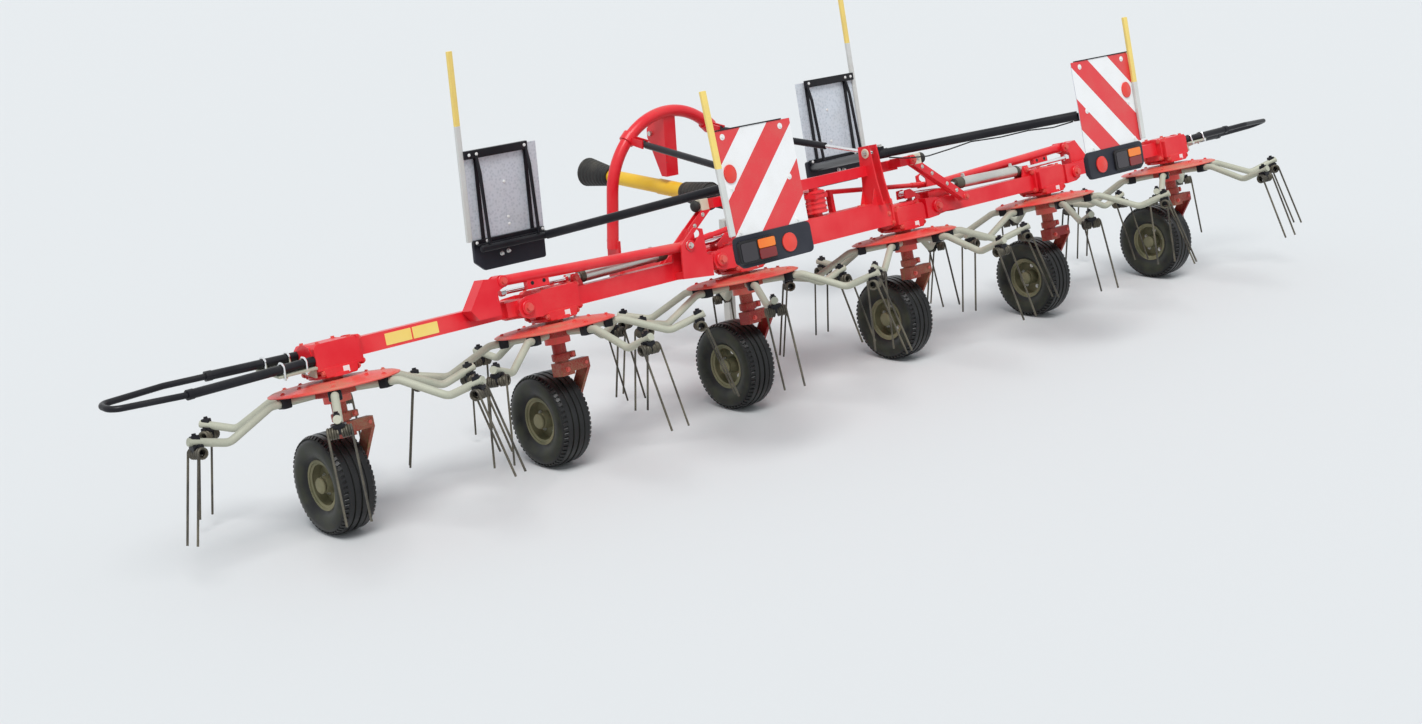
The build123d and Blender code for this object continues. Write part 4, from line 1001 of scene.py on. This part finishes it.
def guard_box(x0, x1, half, low, high, radius):
    """Flat piece of the bracket, from the housing outwards."""
    start = Vector((GUARD_START, GUARD_Y, GUARD_Z))
    return rounded_box(start + Vector((x0, -half, low)), start + Vector((x1, half, high)), radius)


def sleeve_collar(sign):
    """Thicker ring at a sleeve's open end."""
    start, end = (Vector(point) for point in guard_points(SLEEVES[sign], sign))
    way = (end - start).normalized()
    return tube([[end - way * 0.022, end + way * 0.004]], COLLAR_R, sides=20)


def guard_loop(x, sign):
    """Line of a U-bolt over a sleeve."""
    y = GUARD_Y + sign * (0.0612 + (x - GUARD_START) * 0.069)
    return [(x, y + out, GUARD_Z + up) for out, up in LOOP_ARC]


for side, turn in GUARD_TURNS.items():
    body = f"outer_wing_{side}"
    sleeves = tube([guard_points(SLEEVES[-1], -1), guard_points(SLEEVES[1], 1)], SLEEVE_R, sides=20)
    hoop = tube([guard_points(BOW, -1) + guard_points(BOW, 1)[::-1]], BOW_R, bend=0.045, sides=16)
    guard = merged(sleeves, hoop, sleeve_collar(-1), sleeve_collar(1))
    place(f"guard_hoop_{side}", guard, "black_tube", body, turn, replaces=(f"end_guard_{side}",))
    plate = guard_box(-0.004, 0.164, 0.090, -0.030, -0.020, 0.002)
    back = guard_box(-0.006, 0.004, 0.078, -0.066, -0.020, 0.003)
    place(f"guard_bracket_{side}", merged(plate, back), "arm_grey", body, turn)
    loops = [guard_loop(GUARD_START + dx, sign) for sign in (-1, 1) for dx in (0.040, 0.140)]
    ends = [point for loop in loops for point in (loop[0], loop[-1])]
    nuts = [((x, y, GUARD_Z - 0.030), (0, 0, -1)) for x, y, z in ends]
    ubolts = merged(tube(loops, LOOP_R, bend=0.012, sides=10), bolted(nuts, *SMALL_NUT))
    place(f"guard_ubolts_{side}", ubolts, "rod_chrome", body, turn)
print("guard level at", round(GUARD_Z, 3))

# %% [markdown]
# ## Warning panels, boards and lamps
#
# A rear panel has a black angle along its top and six screws with wide washers. Under it hangs a plastic
# board with rounded corners, a black lamp with an amber and a dark red window, and a round reflector. The two
# lamps are the same part, so they aren't mirrored: both have their windows on the right as seen from behind.

# %% Rear boards and reflectors
PANEL_TOP = BACK_W + PANEL / 2
BOARD_LOW = PANEL_LOW - 0.128
LENS_FACE = BACK_V - 0.010
LAMP_W = PANEL_LOW - 0.068
BOARD_CORNERS = [(BACK_X - 0.212, PANEL_LOW - 0.0003), (BACK_X - 0.212, BOARD_LOW),
                 (BACK_X + 0.170, BOARD_LOW - 0.002), (BACK_X + 0.200, BOARD_LOW + 0.022),
                 (BACK_X + 0.204, PANEL_LOW - 0.0003)]
BOARD_OUTLINE = rounded_outline(BOARD_CORNERS, 0.026, 5)
BOARD_BACK = rectangle(BACK_X - 0.200, BACK_X + 0.190, BOARD_LOW + 0.012, PANEL_LOW - 0.014, 0.024)
LOW_REFLECTOR = {"left": 0.080, "right": 0.122}
SCREWS = [((BACK_X + PANEL / 2 - across * PANEL, BACK_V - 0.003, PANEL_TOP - down * PANEL), (0, -1, 0))
          for across in (0.12, 0.86) for down in (0.06, 0.55, 0.965)]


def lens_dome(x, w, radius, v, flat=1.0):
    """Round reflector: a rim and a slightly domed lens."""
    rim = [(radius, 0.0), (radius, 0.005), (radius - 0.0025, 0.0065), (radius - 0.005, 0.0055)]
    dome = lathe([(0.0, 0.0), *rim, (radius * 0.5, 0.0085), (0.0, 0.0095)], 40)
    return moved(dome, Matrix.Translation((x, v, w)), Matrix.Diagonal((flat, 1, 1, 1)), FACING["-v"])


def back_bar(x0, x1, w0, w1, v0, v1, rim):
    """Flat bar behind a rear panel, with its place counted from the panel's middle."""
    return slab(rectangle(BACK_X + x0, BACK_X + x1, w0, w1), BACK_V + v0, BACK_V + v1, rim)


for side, turn in (("left", MIRRORED), ("right", Matrix())):
    seat = turn @ LEANING
    board_node, lens_node = (("light_boards",), ("lamp_lenses",)) if side == "right" else ((), ())
    board = merged(slab(BOARD_OUTLINE, BACK_V - 0.009, BACK_V + 0.012, 0.004),
                   slab(BOARD_BACK, BACK_V, BACK_V + 0.030, 0.004))
    place(f"rear_board_{side}", board, "board", "centre", seat, replaces=board_node)
    bars = [back_bar(-0.165, 0.2115, PANEL_TOP + 0.0002, PANEL_TOP + 0.0052, -0.006, 0.020, 0.0012),
            back_bar(-0.165, 0.2115, PANEL_TOP - 0.030, PANEL_TOP + 0.005, 0.0005, 0.005, 0.0012)]
    bars += [back_bar(dx - 0.012, dx + 0.012, PANEL_LOW - 0.10, PANEL_TOP - 0.004, 0.001, 0.014, 0.002)
             for dx in (-0.14, 0.14)]
    place(f"rear_panel_frame_{side}", merged(*bars), "black_tube", "centre", seat)
    place(f"rear_panel_screws_{side}", bolted(SCREWS, 0.0055, 0.005, 0.0125), "white_patch", "centre", seat)
    domes = merged(lens_dome(BACK_X - LOW_REFLECTOR[side], LAMP_W, 0.0385, LENS_FACE),
                   lens_dome(BACK_X + PANEL / 2 - 0.054, BACK_W + 0.038, 0.0375, BACK_V - 0.003, 0.86))
    place(f"rear_reflectors_{side}", domes, "lens", "centre", seat, sharp=50, replaces=lens_node)
print("rear boards at", round(BACK_X, 3))

# %% Rear lamps, the same on both sides
LAMPS = {"left": -1.218, "right": 1.182}
LAMP_PARTS = [
    ("", "black_plastic", (-0.098, 0.104, -0.046, 0.048, 0.020, 5), (0.012, -0.001), 0.004),
    ("_amber", "amber_lens", (0.004, 0.096, 0.003, 0.041, 0.009), (0.0175, 0.011), 0.004),
    ("_red", "dark_lens", (0.004, 0.096, -0.040, 0.002, 0.009), (0.0165, 0.011), 0.004),
    ("_cover", "black_gloss", (-0.088, -0.004, -0.038, 0.039, 0.012), (0.0145, 0.011), 0.0025),
]
for side, lamp_x in LAMPS.items():
    for name, slot_name, (x0, x1, w0, w1, *corner), (out, inner), rim in LAMP_PARTS:
        outline = rectangle(lamp_x + x0, lamp_x + x1, LAMP_W + w0, LAMP_W + w1, *corner)
        window = slab(outline, LENS_FACE - out, LENS_FACE - inner, rim)
        place(f"rear_lamp{name}_{side}", window, slot_name, "centre", LEANING)
print("rear lamps at", list(LAMPS.values()))

# %% [markdown]
# The front panels look the other way, so from behind one sees their bare zinc and the black frame that
# holds them: a channel on top, and at each side an upright with a second bar that slants back to the shelf.

# %% Front panels' frames and boards
FRONT = {"left": (-1, 1.008, 1.148, 0.998, 1.5), "right": (1, 1.190, 1.148, 1.040, 9.0)}
MIDDLE_Y = 0.48917
HALF = PANEL / 2
CUT_CORNER = [(-0.212, -HALF - 0.0003), (-0.212, -HALF - 0.150), (0.150, -HALF - 0.150),
              (0.205, -HALF - 0.105), (0.205, -HALF - 0.0003)]
FRONT_BOARD = rounded_outline(CUT_CORNER, 0.014, 4)
FRONT_BOARD_BACK = [(u * 0.94, w * 0.99 - 0.004) for u, w in FRONT_BOARD]
FRONT_LAMP = [
    ("", "black_plastic", (-0.080, 0.100, -HALF - 0.116, -HALF - 0.034, 0.016), (0.0395, 0.062), 0.005),
    ("_window", "white_patch", (-0.072, 0.006, -HALF - 0.108, -HALF - 0.042, 0.010), (0.0605, 0.069), 0.004),
    ("_amber", "amber_lens", (0.012, 0.092, -HALF - 0.108, -HALF - 0.042, 0.010), (0.0605, 0.068), 0.004),
]
FRAME_SCREWS = [(HALF - 0.020, -0.020, HALF - 0.010), (HALF - 0.062, -0.020, HALF - 0.010),
                (-0.130, -0.020, HALF - 0.008), (HALF - 0.012, -0.020, -HALF - 0.006),
                (0.140, -0.020, -HALF - 0.004), (-0.190, -0.020, -HALF - 0.004), (-0.005, -0.0005, 0.045),
                (-0.010, -0.0005, -HALF + 0.085), (-0.012, -0.0005, -HALF + 0.050)]
PLUGS = [(0.010, 0.0, -HALF - 0.078), (0.050, 0.0, -HALF - 0.084)]


def front_seat(x, y, z, lean):
    """A front panel's own frame, on the right."""
    return Matrix.Translation((x, y - MIDDLE_Y, z)) @ Matrix.Rotation(-math.radians(lean), 4, "X")


def facing_back(spots):
    return [(spot, (0, -1, 0)) for spot in spots]


for side, (sign, *where) in FRONT.items():
    seat = Matrix.Diagonal((sign, 1, 1, 1)) @ front_seat(*where)
    channel = rounded_box((-0.150, -0.020, HALF - 0.030), (HALF + 0.004, -0.0005, HALF + 0.010), 0.003)
    foot = rounded_box((-HALF + 0.010, -0.020, -HALF - 0.016), (HALF + 0.004, -0.0005, -HALF + 0.006), 0.003)
    bars = [channel, foot]
    for dx in (-0.140, 0.150):
        bars.append(rounded_box((dx - 0.010, -0.008, -HALF), (dx + 0.010, -0.0008, HALF - 0.020), 0.002))
        slanted = [(dx, -0.012, HALF - 0.012), (dx, -0.034, HALF - 0.10), (dx, -0.056, -HALF - 0.012)]
        bars.append(tube([slanted], 0.0085, bend=0.05, sides=12))
    place(f"front_frame_{side}", merged(*bars), "black_tube", "centre", seat)
    board = merged(slab(FRONT_BOARD, 0.0003, 0.022, 0.004), slab(FRONT_BOARD_BACK, 0.012, 0.040, 0.005))
    place(f"front_board_{side}", board, "board", "centre", seat)
    for name, slot_name, edges, (near, far), rim in FRONT_LAMP:
        place(f"front_lamp{name}_{side}", slab(rectangle(*edges), near, far, rim), slot_name, "centre", seat)
    heads = bolted(facing_back(FRAME_SCREWS), 0.0055, 0.0045, 0.008)
    plugs = bolted(facing_back(PLUGS), 0.008, 0.012, 0.011)
    place(f"front_screws_{side}", merged(heads, plugs), "white_patch", "centre", seat)
print("front panels framed")

# %% [markdown]
# ## Carriers, poles and towers
#
# Long black tubes run from the two towers to the panels, and a thin cable to the lamps hangs under each rear
# one. A tower is a pair of plates, and the pin through it ends in a wide bright washer with a bolt. The poles
# are plastic, so their corners are round, and they lean a little against the panels' edges.

# %% Carriers of the panels
TOWER_X, PIN_V, PIN_W = 0.372, -0.038, 0.432
CLAMP_X = TOWER_X + 0.021 + 0.008
CARRIER_R, CABLE_R = 0.0215, 0.0032
SAGS = ((0.05, 0.0), (0.14, 0.020), (0.25, 0.030), (0.37, 0.016), (0.47, 0.001), (0.62, 0.007), (0.76, 0.001),
        (0.88, 0.010), (0.98, 0.0))
BACK_START = at(CLAMP_X + 0.022, -0.050, PIN_W - 0.016)
BACK_END = at(BACK_X - 0.150, BACK_V + 0.060, BACK_W - 0.034)
FORE_START = at(CLAMP_X + 0.022, -0.011, PIN_W - 0.012)
HOLD = [((-0.165, 0.002, -0.060), (0.165, 0.008, -0.020), 0.002),
        ((-0.165, 0.008, -0.028), (0.165, 0.078, -0.022), 0.002),
        ((-0.160, 0.040, -0.060), (-0.120, 0.080, -0.028), 0.004)]


def sided(mesh, sign):
    """A right-hand mesh, mirrored where the sign is minus."""
    mesh.transform(Matrix.Diagonal((sign, 1, 1, 1)))
    if sign < 0:
        mesh.flip_normals()
    return mesh


def cuff(start, end):
    return [start, start + (end - start) * 0.045]


carriers = []
cables = []
for side, (sign, x, y, z, lean) in FRONT.items():
    fore_end = Vector((x - 0.190, y - 0.060 - MIDDLE_Y, z - HALF - 0.030))
    pipes = tube([[BACK_START, BACK_END], [FORE_START, fore_end]], CARRIER_R, sides=24)
    cuffs = tube([cuff(BACK_START, BACK_END), cuff(FORE_START, fore_end)], CARRIER_R + 0.0025, sides=24)
    clamp = rounded_box((CLAMP_X, -0.070, PIN_W - 0.024), (CLAMP_X + 0.044, 0.008, PIN_W + 0.020), 0.004)
    middle = Vector((BACK_X, BACK_V, BACK_W))
    hold = [rounded_box(middle + Vector(low), middle + Vector(high), edge) for low, high, edge in HOLD]
    shelf = merged(rounded_box((-0.200, -0.062, -HALF - 0.050), (0.200, -0.034, -HALF - 0.016), 0.012, 3),
                   rounded_box((-0.200, -0.040, -HALF - 0.018), (0.200, 0.0, -HALF - 0.012), 0.002))
    leaning = [moved(mesh, LEANING) for mesh in (clamp, *hold)]
    shelf = moved(shelf, front_seat(x, y, z, lean))
    carriers += [sided(mesh, sign) for mesh in (pipes, cuffs, *leaning, shelf)]
    hanging = [BACK_START + (BACK_END - BACK_START) * share - Vector((0, 0, CARRIER_R + 0.003 + drop))
               for share, drop in SAGS]
    cables.append(sided(tube([hanging], CABLE_R, bend=0.08, sides=8), sign))
    pins = LEANING @ Matrix.Diagonal((sign, 1, 1, 1))
    inner, outer = (TOWER_X - 0.034, PIN_V, PIN_W), (TOWER_X + 0.078, PIN_V, PIN_W)
    washers = [disc_at(*inner, 0.0235, 0.005, "-x"), disc_at(*outer, 0.0235, 0.005, "x")]
    place(f"tower_washers_{side}", merged(*washers), "zinc_block", "centre", pins)
    spots = [(inner, (-1, 0, 0)), (outer, (1, 0, 0))]
    spots += [((CLAMP_X + 0.022, v, PIN_W + 0.020), (0, 0, 1)) for v in (-0.062, 0.0)]
    place(f"tower_bolts_{side}", bolted(spots, 0.0105, 0.010, 0.014), "steel", "centre", pins)
place("carriers", merged(*carriers), "black_tube", "centre", replaces=("panel_carriers",))
place("lamp_cables", merged(*cables), "hose", "centre")
king_rings = [disc_at(0, 0, w, 0.0515, 0.009, "w", hole=0.040) for w in (0.216, 0.238, 0.262, 0.286, 0.307)]
place("king_post_rings", merged(*king_rings), "frame_red", "headstock", LEANING)
print("carriers", round((BACK_END - BACK_START).length, 3), "m")

# %% Poles with round corners
def box_tube(low_point, high_point, wide, deep):
    """Upright bar with rounded corners that runs from one point to another and may slant."""
    low_point, high_point = Vector(low_point), Vector(high_point)
    long = (high_point - low_point).length
    mesh = rounded_box((-wide / 2, -deep / 2, 0), (wide / 2, deep / 2, long), 0.0035)
    way = Vector((0, 0, 1)).rotation_difference((high_point - low_point).normalized()).to_matrix().to_4x4()
    return moved(mesh, Matrix.Translation(low_point), way)


REAR_POLE = ((1.3285, BACK_V - 0.0125, PANEL_LOW + 0.006), (1.3400, BACK_V - 0.0125, PANEL_TOP + 0.165))
FRONT_POLE = ((HALF + 0.0155, 0.002, -HALF), (HALF + 0.0155, 0.002, HALF + 0.480))
poles = []
for side, (sign, *where) in FRONT.items():
    poles.append(sided(moved(box_tube(*REAR_POLE, 0.028, 0.015), LEANING), sign))
    poles.append(sided(moved(box_tube(*FRONT_POLE, 0.029, 0.016), front_seat(*where)), sign))
place("poles", merged(*poles), "pole", "centre", replaces=("marker_poles",))
print("poles", len(poles))

# %% [markdown]
# ## Small things on the frame
#
# A few blank yellow plates, the flanges at the ends of the middle beam, stiffening plates at the towers' feet
# and thicker tie rods finish the frame. Each is one line of numbers, read from where it sits on the machine.

# %% Plates, flanges, tie rods and hoses
BLANKS = [(x0, x0 + 0.121, v0, v0 + 0.0014) for x0 in (2.197, 2.325) for v0 in (-0.0352, 0.0338)]
BEAM_END = rectangle(-0.068, 0.068, 0.060, 0.198, 0.010)
BEAM_BOLTS = [((0.424, -0.0625, 0.080), (-1, 0, 0)), ((0.424, -0.0625, 0.178), (-1, 0, 0)),
              ((0.235, -0.042, 0.190), (0, 0, 1)), ((0.262, -0.042, 0.190), (0, 0, 1)),
              ((0.405, -0.060, 0.128), (0, -1, 0))]
HOSE = [(0.048, 0.0705, 0.100), (0.060, 0.0705, 0.150), (0.100, 0.0705, 0.178), (0.300, 0.0705, 0.176),
        (0.410, 0.0705, 0.182)]
SECOND_HOSE = [(x, v, w - 0.018 if x > 0.09 else w - 0.012) for x, v, w in HOSE]


def tower_foot(sign, v):
    """Three-cornered stiffening plate at a tower's foot."""
    near, far = TOWER_X + sign * 0.030, TOWER_X + sign * 0.062
    return slab([(near, 0.1885), (far, 0.1885), (near, 0.262)], v, v + 0.006)


for side, turn in SIDES.items():
    seat = LEANING @ turn
    blank = [slab(rectangle(x0, x1, 0.0935, 0.1405, 0.003), v0, v1) for x0, x1, v0, v1 in BLANKS]
    place(f"blank_plates_{side}", merged(*blank), "yellow_patch", f"outer_wing_{side}", seat)
    feet = [tower_foot(sign, v) for sign in (-1, 1) for v in (-0.060, 0.020)]
    beam_end = merged(slab(BEAM_END, 0.424, 0.4365, 0.002, axis="x"), *feet)
    place(f"beam_end_{side}", beam_end, "frame_red", "centre", seat)
    place(f"beam_bolts_{side}", bolted(BEAM_BOLTS, *FRAME_BOLT), "bolt_red", "centre", seat)
    rod = tube([[(0.160, 0.080, 0.2865), (0.735, 0.080, 0.226)]], 0.0118, sides=20)
    place(f"tie_rod_{side}", rod, "frame_red", "centre", seat)
    in_front = LEANING @ (Matrix() if side == "right" else MIRRORED)
    place(f"hoses_{side}", tube([HOSE, SECOND_HOSE], 0.0075, bend=0.03, sides=12), "hose", "centre", in_front)
print("frame finished")

# %% [markdown]
# ## Drive shaft
#
# The shaft turns inside a yellow guard. At both ends black cones with ribs let the guard bend with its
# joints, and a longer black guard covers the stretch next to the gearbox. Ribs are just steps in a lathe
# profile.

# %% Ribbed guards on the shaft
SHAFT = (Vector((0, 0.205 - MIDDLE_Y, 0.813)), Vector((0, 1.850 - MIDDLE_Y, 0.875)))
SHAFT_WAY = (SHAFT[1] - SHAFT[0]).normalized()
SHAFT_LONG = (SHAFT[1] - SHAFT[0]).length


def on_shaft(profile):
    """Lathe profile along the shaft, with heights as shares of its length."""
    turn = Vector((0, 0, 1)).rotation_difference(SHAFT_WAY).to_matrix().to_4x4()
    guard = lathe([(r, share * SHAFT_LONG) for r, share in profile], 40)
    return moved(guard, Matrix.Translation(SHAFT[0]), turn)


def ribbed(start, end, r_start, r_end, ribs):
    """Outline of a cone with ribs, from its axis out and back to the axis."""
    points = [(0.0, start)]
    for i in range(ribs):
        for part, swell in ((0.0, 0.0), (0.15, 0.003), (0.65, 0.003), (0.8, 0.0)):
            t = (i + part) / ribs
            points.append((r_start + (r_end - r_start) * t + swell, start + (end - start) * t))
    return points + [(r_end, end), (0.0, end)]


YELLOW = [(0.0, 0.47), (0.040, 0.47), (0.040, 0.60), (0.0405, 0.602), (0.0365, 0.606), (0.0365, 0.86),
          (0.0, 0.86)]
YOKE = [(0.018, 0.86), (0.030, 0.86), (0.030, 0.992), (0.027, 0.999), (0.018, 0.999)]
GEAR_COVER = [(0.0, 0.0), (0.074, 0.0), (0.074, 0.012), (0.060, 0.045), (0.050, 0.06), (0.050, 0.355),
              (0.066, 0.366), (0.0, 0.366)]
place("shaft_tube", on_shaft(YELLOW), "shaft_yellow", "centre", replaces=("shaft_guard",))
place("shaft_yoke", on_shaft(YOKE), "spring_steel", "centre")
near_cone = on_shaft(ribbed(0.365, 0.485, 0.070, 0.045, 7))
far_cone = on_shaft(ribbed(0.965, 0.845, 0.074, 0.047, 8))
place("shaft_cones", merged(near_cone, on_shaft(GEAR_COVER), far_cone), "rubber", "centre", sharp=50,
      replaces=("shaft_bells",))
print("shaft", round(SHAFT_LONG, 3), "m")

# %% [markdown]
# ## Wheels and legs
#
# The rims are pressed steel with five studs, and a cap over the bearing. A wheel leg is a turned post with a
# clamp collar and a bolt, so that its height can be set. All are small turned or boxed pieces on known axes.

# %% Rim studs, caps and leg collars
STUD_SEATS = [(0.060 * math.cos(2 * math.pi * i / 5 + 0.3), 0.060 * math.sin(2 * math.pi * i / 5 + 0.3))
              for i in range(5)]
STUDS = [((way * 0.0085, y, z), (way, 0, 0)) for y, z in STUD_SEATS for way in (-1, 1)]
CAP = [(0.0, 0.0), (0.033, 0.0), (0.033, 0.006), (0.027, 0.012), (0.020, 0.014), (0.0, 0.015)]
LIP = [(0.084, 0.050), (0.100, 0.0565), (0.1035, 0.0590), (0.1075, 0.0570), (0.1085, 0.052), (0.103, 0.045)]
COLLAR = [(0.029, -0.150), (0.037, -0.150), (0.039, -0.147), (0.039, -0.122), (0.037, -0.119),
          (0.029, -0.119)]
LEG_BOLTS = [((0.055, -0.012, -0.1345), (0, -1, 0)), ((0.055, 0.012, -0.1345), (0, 1, 0)),
             ((0, -0.0345, -0.190), (0, -1, 0)), ((0.100, -0.030, -0.180), (0, -1, 0))]


def disc_bolt_places(phase):
    """Two bolts in line with each arm, on the slope of the dished disc."""
    places = []
    for i in range(6):
        c, s = math.cos(math.pi / 3 * i + phase), math.sin(math.pi / 3 * i + phase)
        for r, height in ((0.225, 0.0052), (0.150, 0.0130)):
            places.append(((r * c, r * s, height), (0.1 * c, 0.1 * s, 1)))
    return places


for number in ROTORS:
    seat = wheel_seat(number)
    leg_seat = rotor_seat(number)
    wheel, carrier = f"wheel_{number}", CARRIERS[number]
    place(f"wheel_studs_{number}", bolted(STUDS, *SMALL_NUT), "steel", wheel, seat)
    lips = merged(lathe(LIP, 64), moved(lathe(LIP, 64), Matrix.Rotation(math.pi, 4, "X")))
    place(f"rim_lips_{number}", moved(lips, WHEEL_UP), "rim", wheel, seat)
    place(f"axle_cap_{number}", turned(CAP, 32, (-0.0585, 0, 0), "-x"), "rim", carrier, seat)
    lug = rounded_box((0.030, -0.012, -0.148), (0.072, 0.012, -0.121), 0.003)
    # The collar takes the legs' dark red, which holds painted shade from under the disc.
    place(f"leg_collar_{number}", merged(lathe(COLLAR, 32), lug), "leg_red", carrier, leg_seat)
    place(f"leg_bolts_{number}", bolted(LEG_BOLTS, 0.0085, 0.008, 0.012), "bolt_red", carrier, leg_seat)
    heads = bolted(disc_bolt_places(arm_phase(number)), 0.0070, 0.006, 0.0100)
    place(f"disc_bolts_{number}", heads, "disc_red", f"rotor_{number}", leg_seat)
print("wheels dressed")

# %% [markdown]
# ## Headstock and hydraulics
#
# Pins are held by linch pins, a small pin with a spring ring. The cylinders have a gland nut where the rod
# comes out, and two ports. These are turned profiles again, laid along each cylinder's own line.

# %% Cylinders' glands and ports
BARREL_EYE, ROD_EYE = Vector((CYLINDER_X, 0, CYLINDER_W)), Vector((0.588, 0, 0.197))
ROD_WAY = (ROD_EYE - BARREL_EYE).normalized()
ROD_TURN = Vector((0, 0, 1)).rotation_difference(ROD_WAY).to_matrix().to_4x4()
GLAND = [(0.0145, 0.470), (0.0295, 0.470), (0.0295, 0.508), (0.0270, 0.5215), (0.020, 0.5235),
         (0.0145, 0.5235)]
WELD = [(0.018, 0.040), (0.0255, 0.040), (0.0285, 0.046), (0.0285, 0.062), (0.0265, 0.066), (0.018, 0.066)]
PORT = [(0.0, 0.018), (0.011, 0.018), (0.011, 0.034), (0.009, 0.036), (0.009, 0.044), (0.0, 0.046)]
for side, turn in SIDES.items():
    seat = LEANING @ turn
    barrel = f"cylinder_barrel_{side}"
    rings = moved(merged(lathe(GLAND, 40), lathe(WELD, 40)), Matrix.Translation(BARREL_EYE), ROD_TURN)
    place(f"cylinder_rings_{side}", rings, "spring_steel", barrel, seat)
    seats = [Matrix.Translation(BARREL_EYE + ROD_WAY * share) for share in (0.085, 0.450)]
    ports = merged(*[moved(lathe(PORT, 6), port_seat) for port_seat in seats])
    place(f"cylinder_ports_{side}", ports, "steel", barrel, seat)
print("cylinders finished")

# %% Hitch pins and their clips
LOWER_X, PIN_Y, LOWER_Z = 0.4125, 1.100 - MIDDLE_Y, 0.520
TOP_Y, TOP_Z = 1.195 - MIDDLE_Y, 1.130
BOSS = [(0.0145, 0.0), (0.034, 0.0), (0.036, 0.003), (0.036, 0.010), (0.030, 0.014), (0.0145, 0.014)]
for side, sign in (("left", -1), ("right", 1)):
    x = sign * (LOWER_X + 0.080)
    pin = [(x, PIN_Y, LOWER_Z - 0.024), (x, PIN_Y, LOWER_Z + 0.030)]
    angles = [i * math.pi / 8 for i in range(16)]
    ring = [(x + 0.026 * math.sin(a), PIN_Y, LOWER_Z + 0.004 + 0.028 * math.cos(a)) for a in angles]
    clip = merged(tube([pin], 0.0045, sides=10), tube([ring], 0.0018, sides=8))
    place(f"linch_pin_{side}", clip, "steel", "headstock")
    boss = turned(BOSS, 32, (sign * LOWER_X, PIN_Y, LOWER_Z), "x" if sign > 0 else "-x")
    place(f"lower_boss_{side}", boss, "frame_red", "headstock")
top_pin = tube([[(-0.052, TOP_Y, TOP_Z), (0.060, TOP_Y, TOP_Z)]], 0.0125, sides=20)
HANDLE = [(0.056, TOP_Y, TOP_Z), (0.060, TOP_Y, TOP_Z + 0.060), (0.095, TOP_Y, TOP_Z + 0.075)]
place("top_pin", merged(top_pin, tube([HANDLE], 0.005, bend=0.02)), "steel", "headstock")
print("headstock dressed")

# %% [markdown]
# ## Stage
#
# A pale floor keeps the shadow. A sun with a wide disc is the one lamp: it lights the floor evenly and its
# shadows are soft. The world fills in the rest, at a level at which a colour renders about as it is written.

# %% Floor, lamp and world
FLOOR_REACH = 60.0
FLOOR_GREY, BACKDROP, SKY_LIGHT = (0.70, 0.71, 0.71), (0.90, 0.93, 0.95), (0.88, 0.94, 1.0)


def stage_floor():
    mesh = bpy.data.meshes.new("floor")
    corners = [(x * FLOOR_REACH, y * FLOOR_REACH, 0) for x, y in ((-1, -1), (1, -1), (1, 1), (-1, 1))]
    mesh.from_pydata(corners, [], [(0, 1, 2, 3)])
    floor = bpy.data.objects.new("floor", mesh)
    bpy.context.scene.collection.objects.link(floor)
    finish = bpy.data.materials.new("pale_floor")
    finish.use_nodes = True
    shader = finish.node_tree.nodes["Principled BSDF"]
    shader.inputs["Base Color"].default_value = (*FLOOR_GREY, 1)
    shader.inputs["Roughness"].default_value = 0.85
    mesh.materials.append(finish)


def soft_sun(name, way, strength, width):
    data = bpy.data.lights.new(name, "SUN")
    data.energy = strength
    data.angle = math.radians(width)
    lamp = bpy.data.objects.new(name, data)
    lamp.rotation_euler = Vector(way).to_track_quat("-Z", "Y").to_euler()
    bpy.context.scene.collection.objects.link(lamp)


def studio_world():
    """Soft light for the object, a pale backdrop where the camera, a reflection or glass sees the world."""
    world = bpy.data.worlds.new("studio")
    bpy.context.scene.world = world
    world.use_nodes = True
    tree = world.node_tree
    tree.nodes.clear()
    ray = tree.nodes.new("ShaderNodeLightPath")
    seen = [Value(tree, ray.outputs[f"Is {kind} Ray"]) for kind in ("Camera", "Glossy", "Transmission")]
    straight = seen[0].math("MAXIMUM", seen[1]).math("MAXIMUM", seen[2])
    soft = straight.node("ShaderNodeBackground", {}, {"Color": SKY_LIGHT, "Strength": 0.6})
    clear = straight.node("ShaderNodeBackground", {}, {"Color": BACKDROP, "Strength": 1.0})
    mixed = straight.node("ShaderNodeMixShader", {}, {0: straight, 1: soft, 2: clear})
    tree.links.new(mixed.socket, tree.nodes.new("ShaderNodeOutputWorld").inputs["Surface"])


stage_floor()
soft_sun("overhead", (0.35, 0.45, -1.0), 2.15, 28.0)
studio_world()
bpy.context.scene.view_settings.view_transform = "Standard"
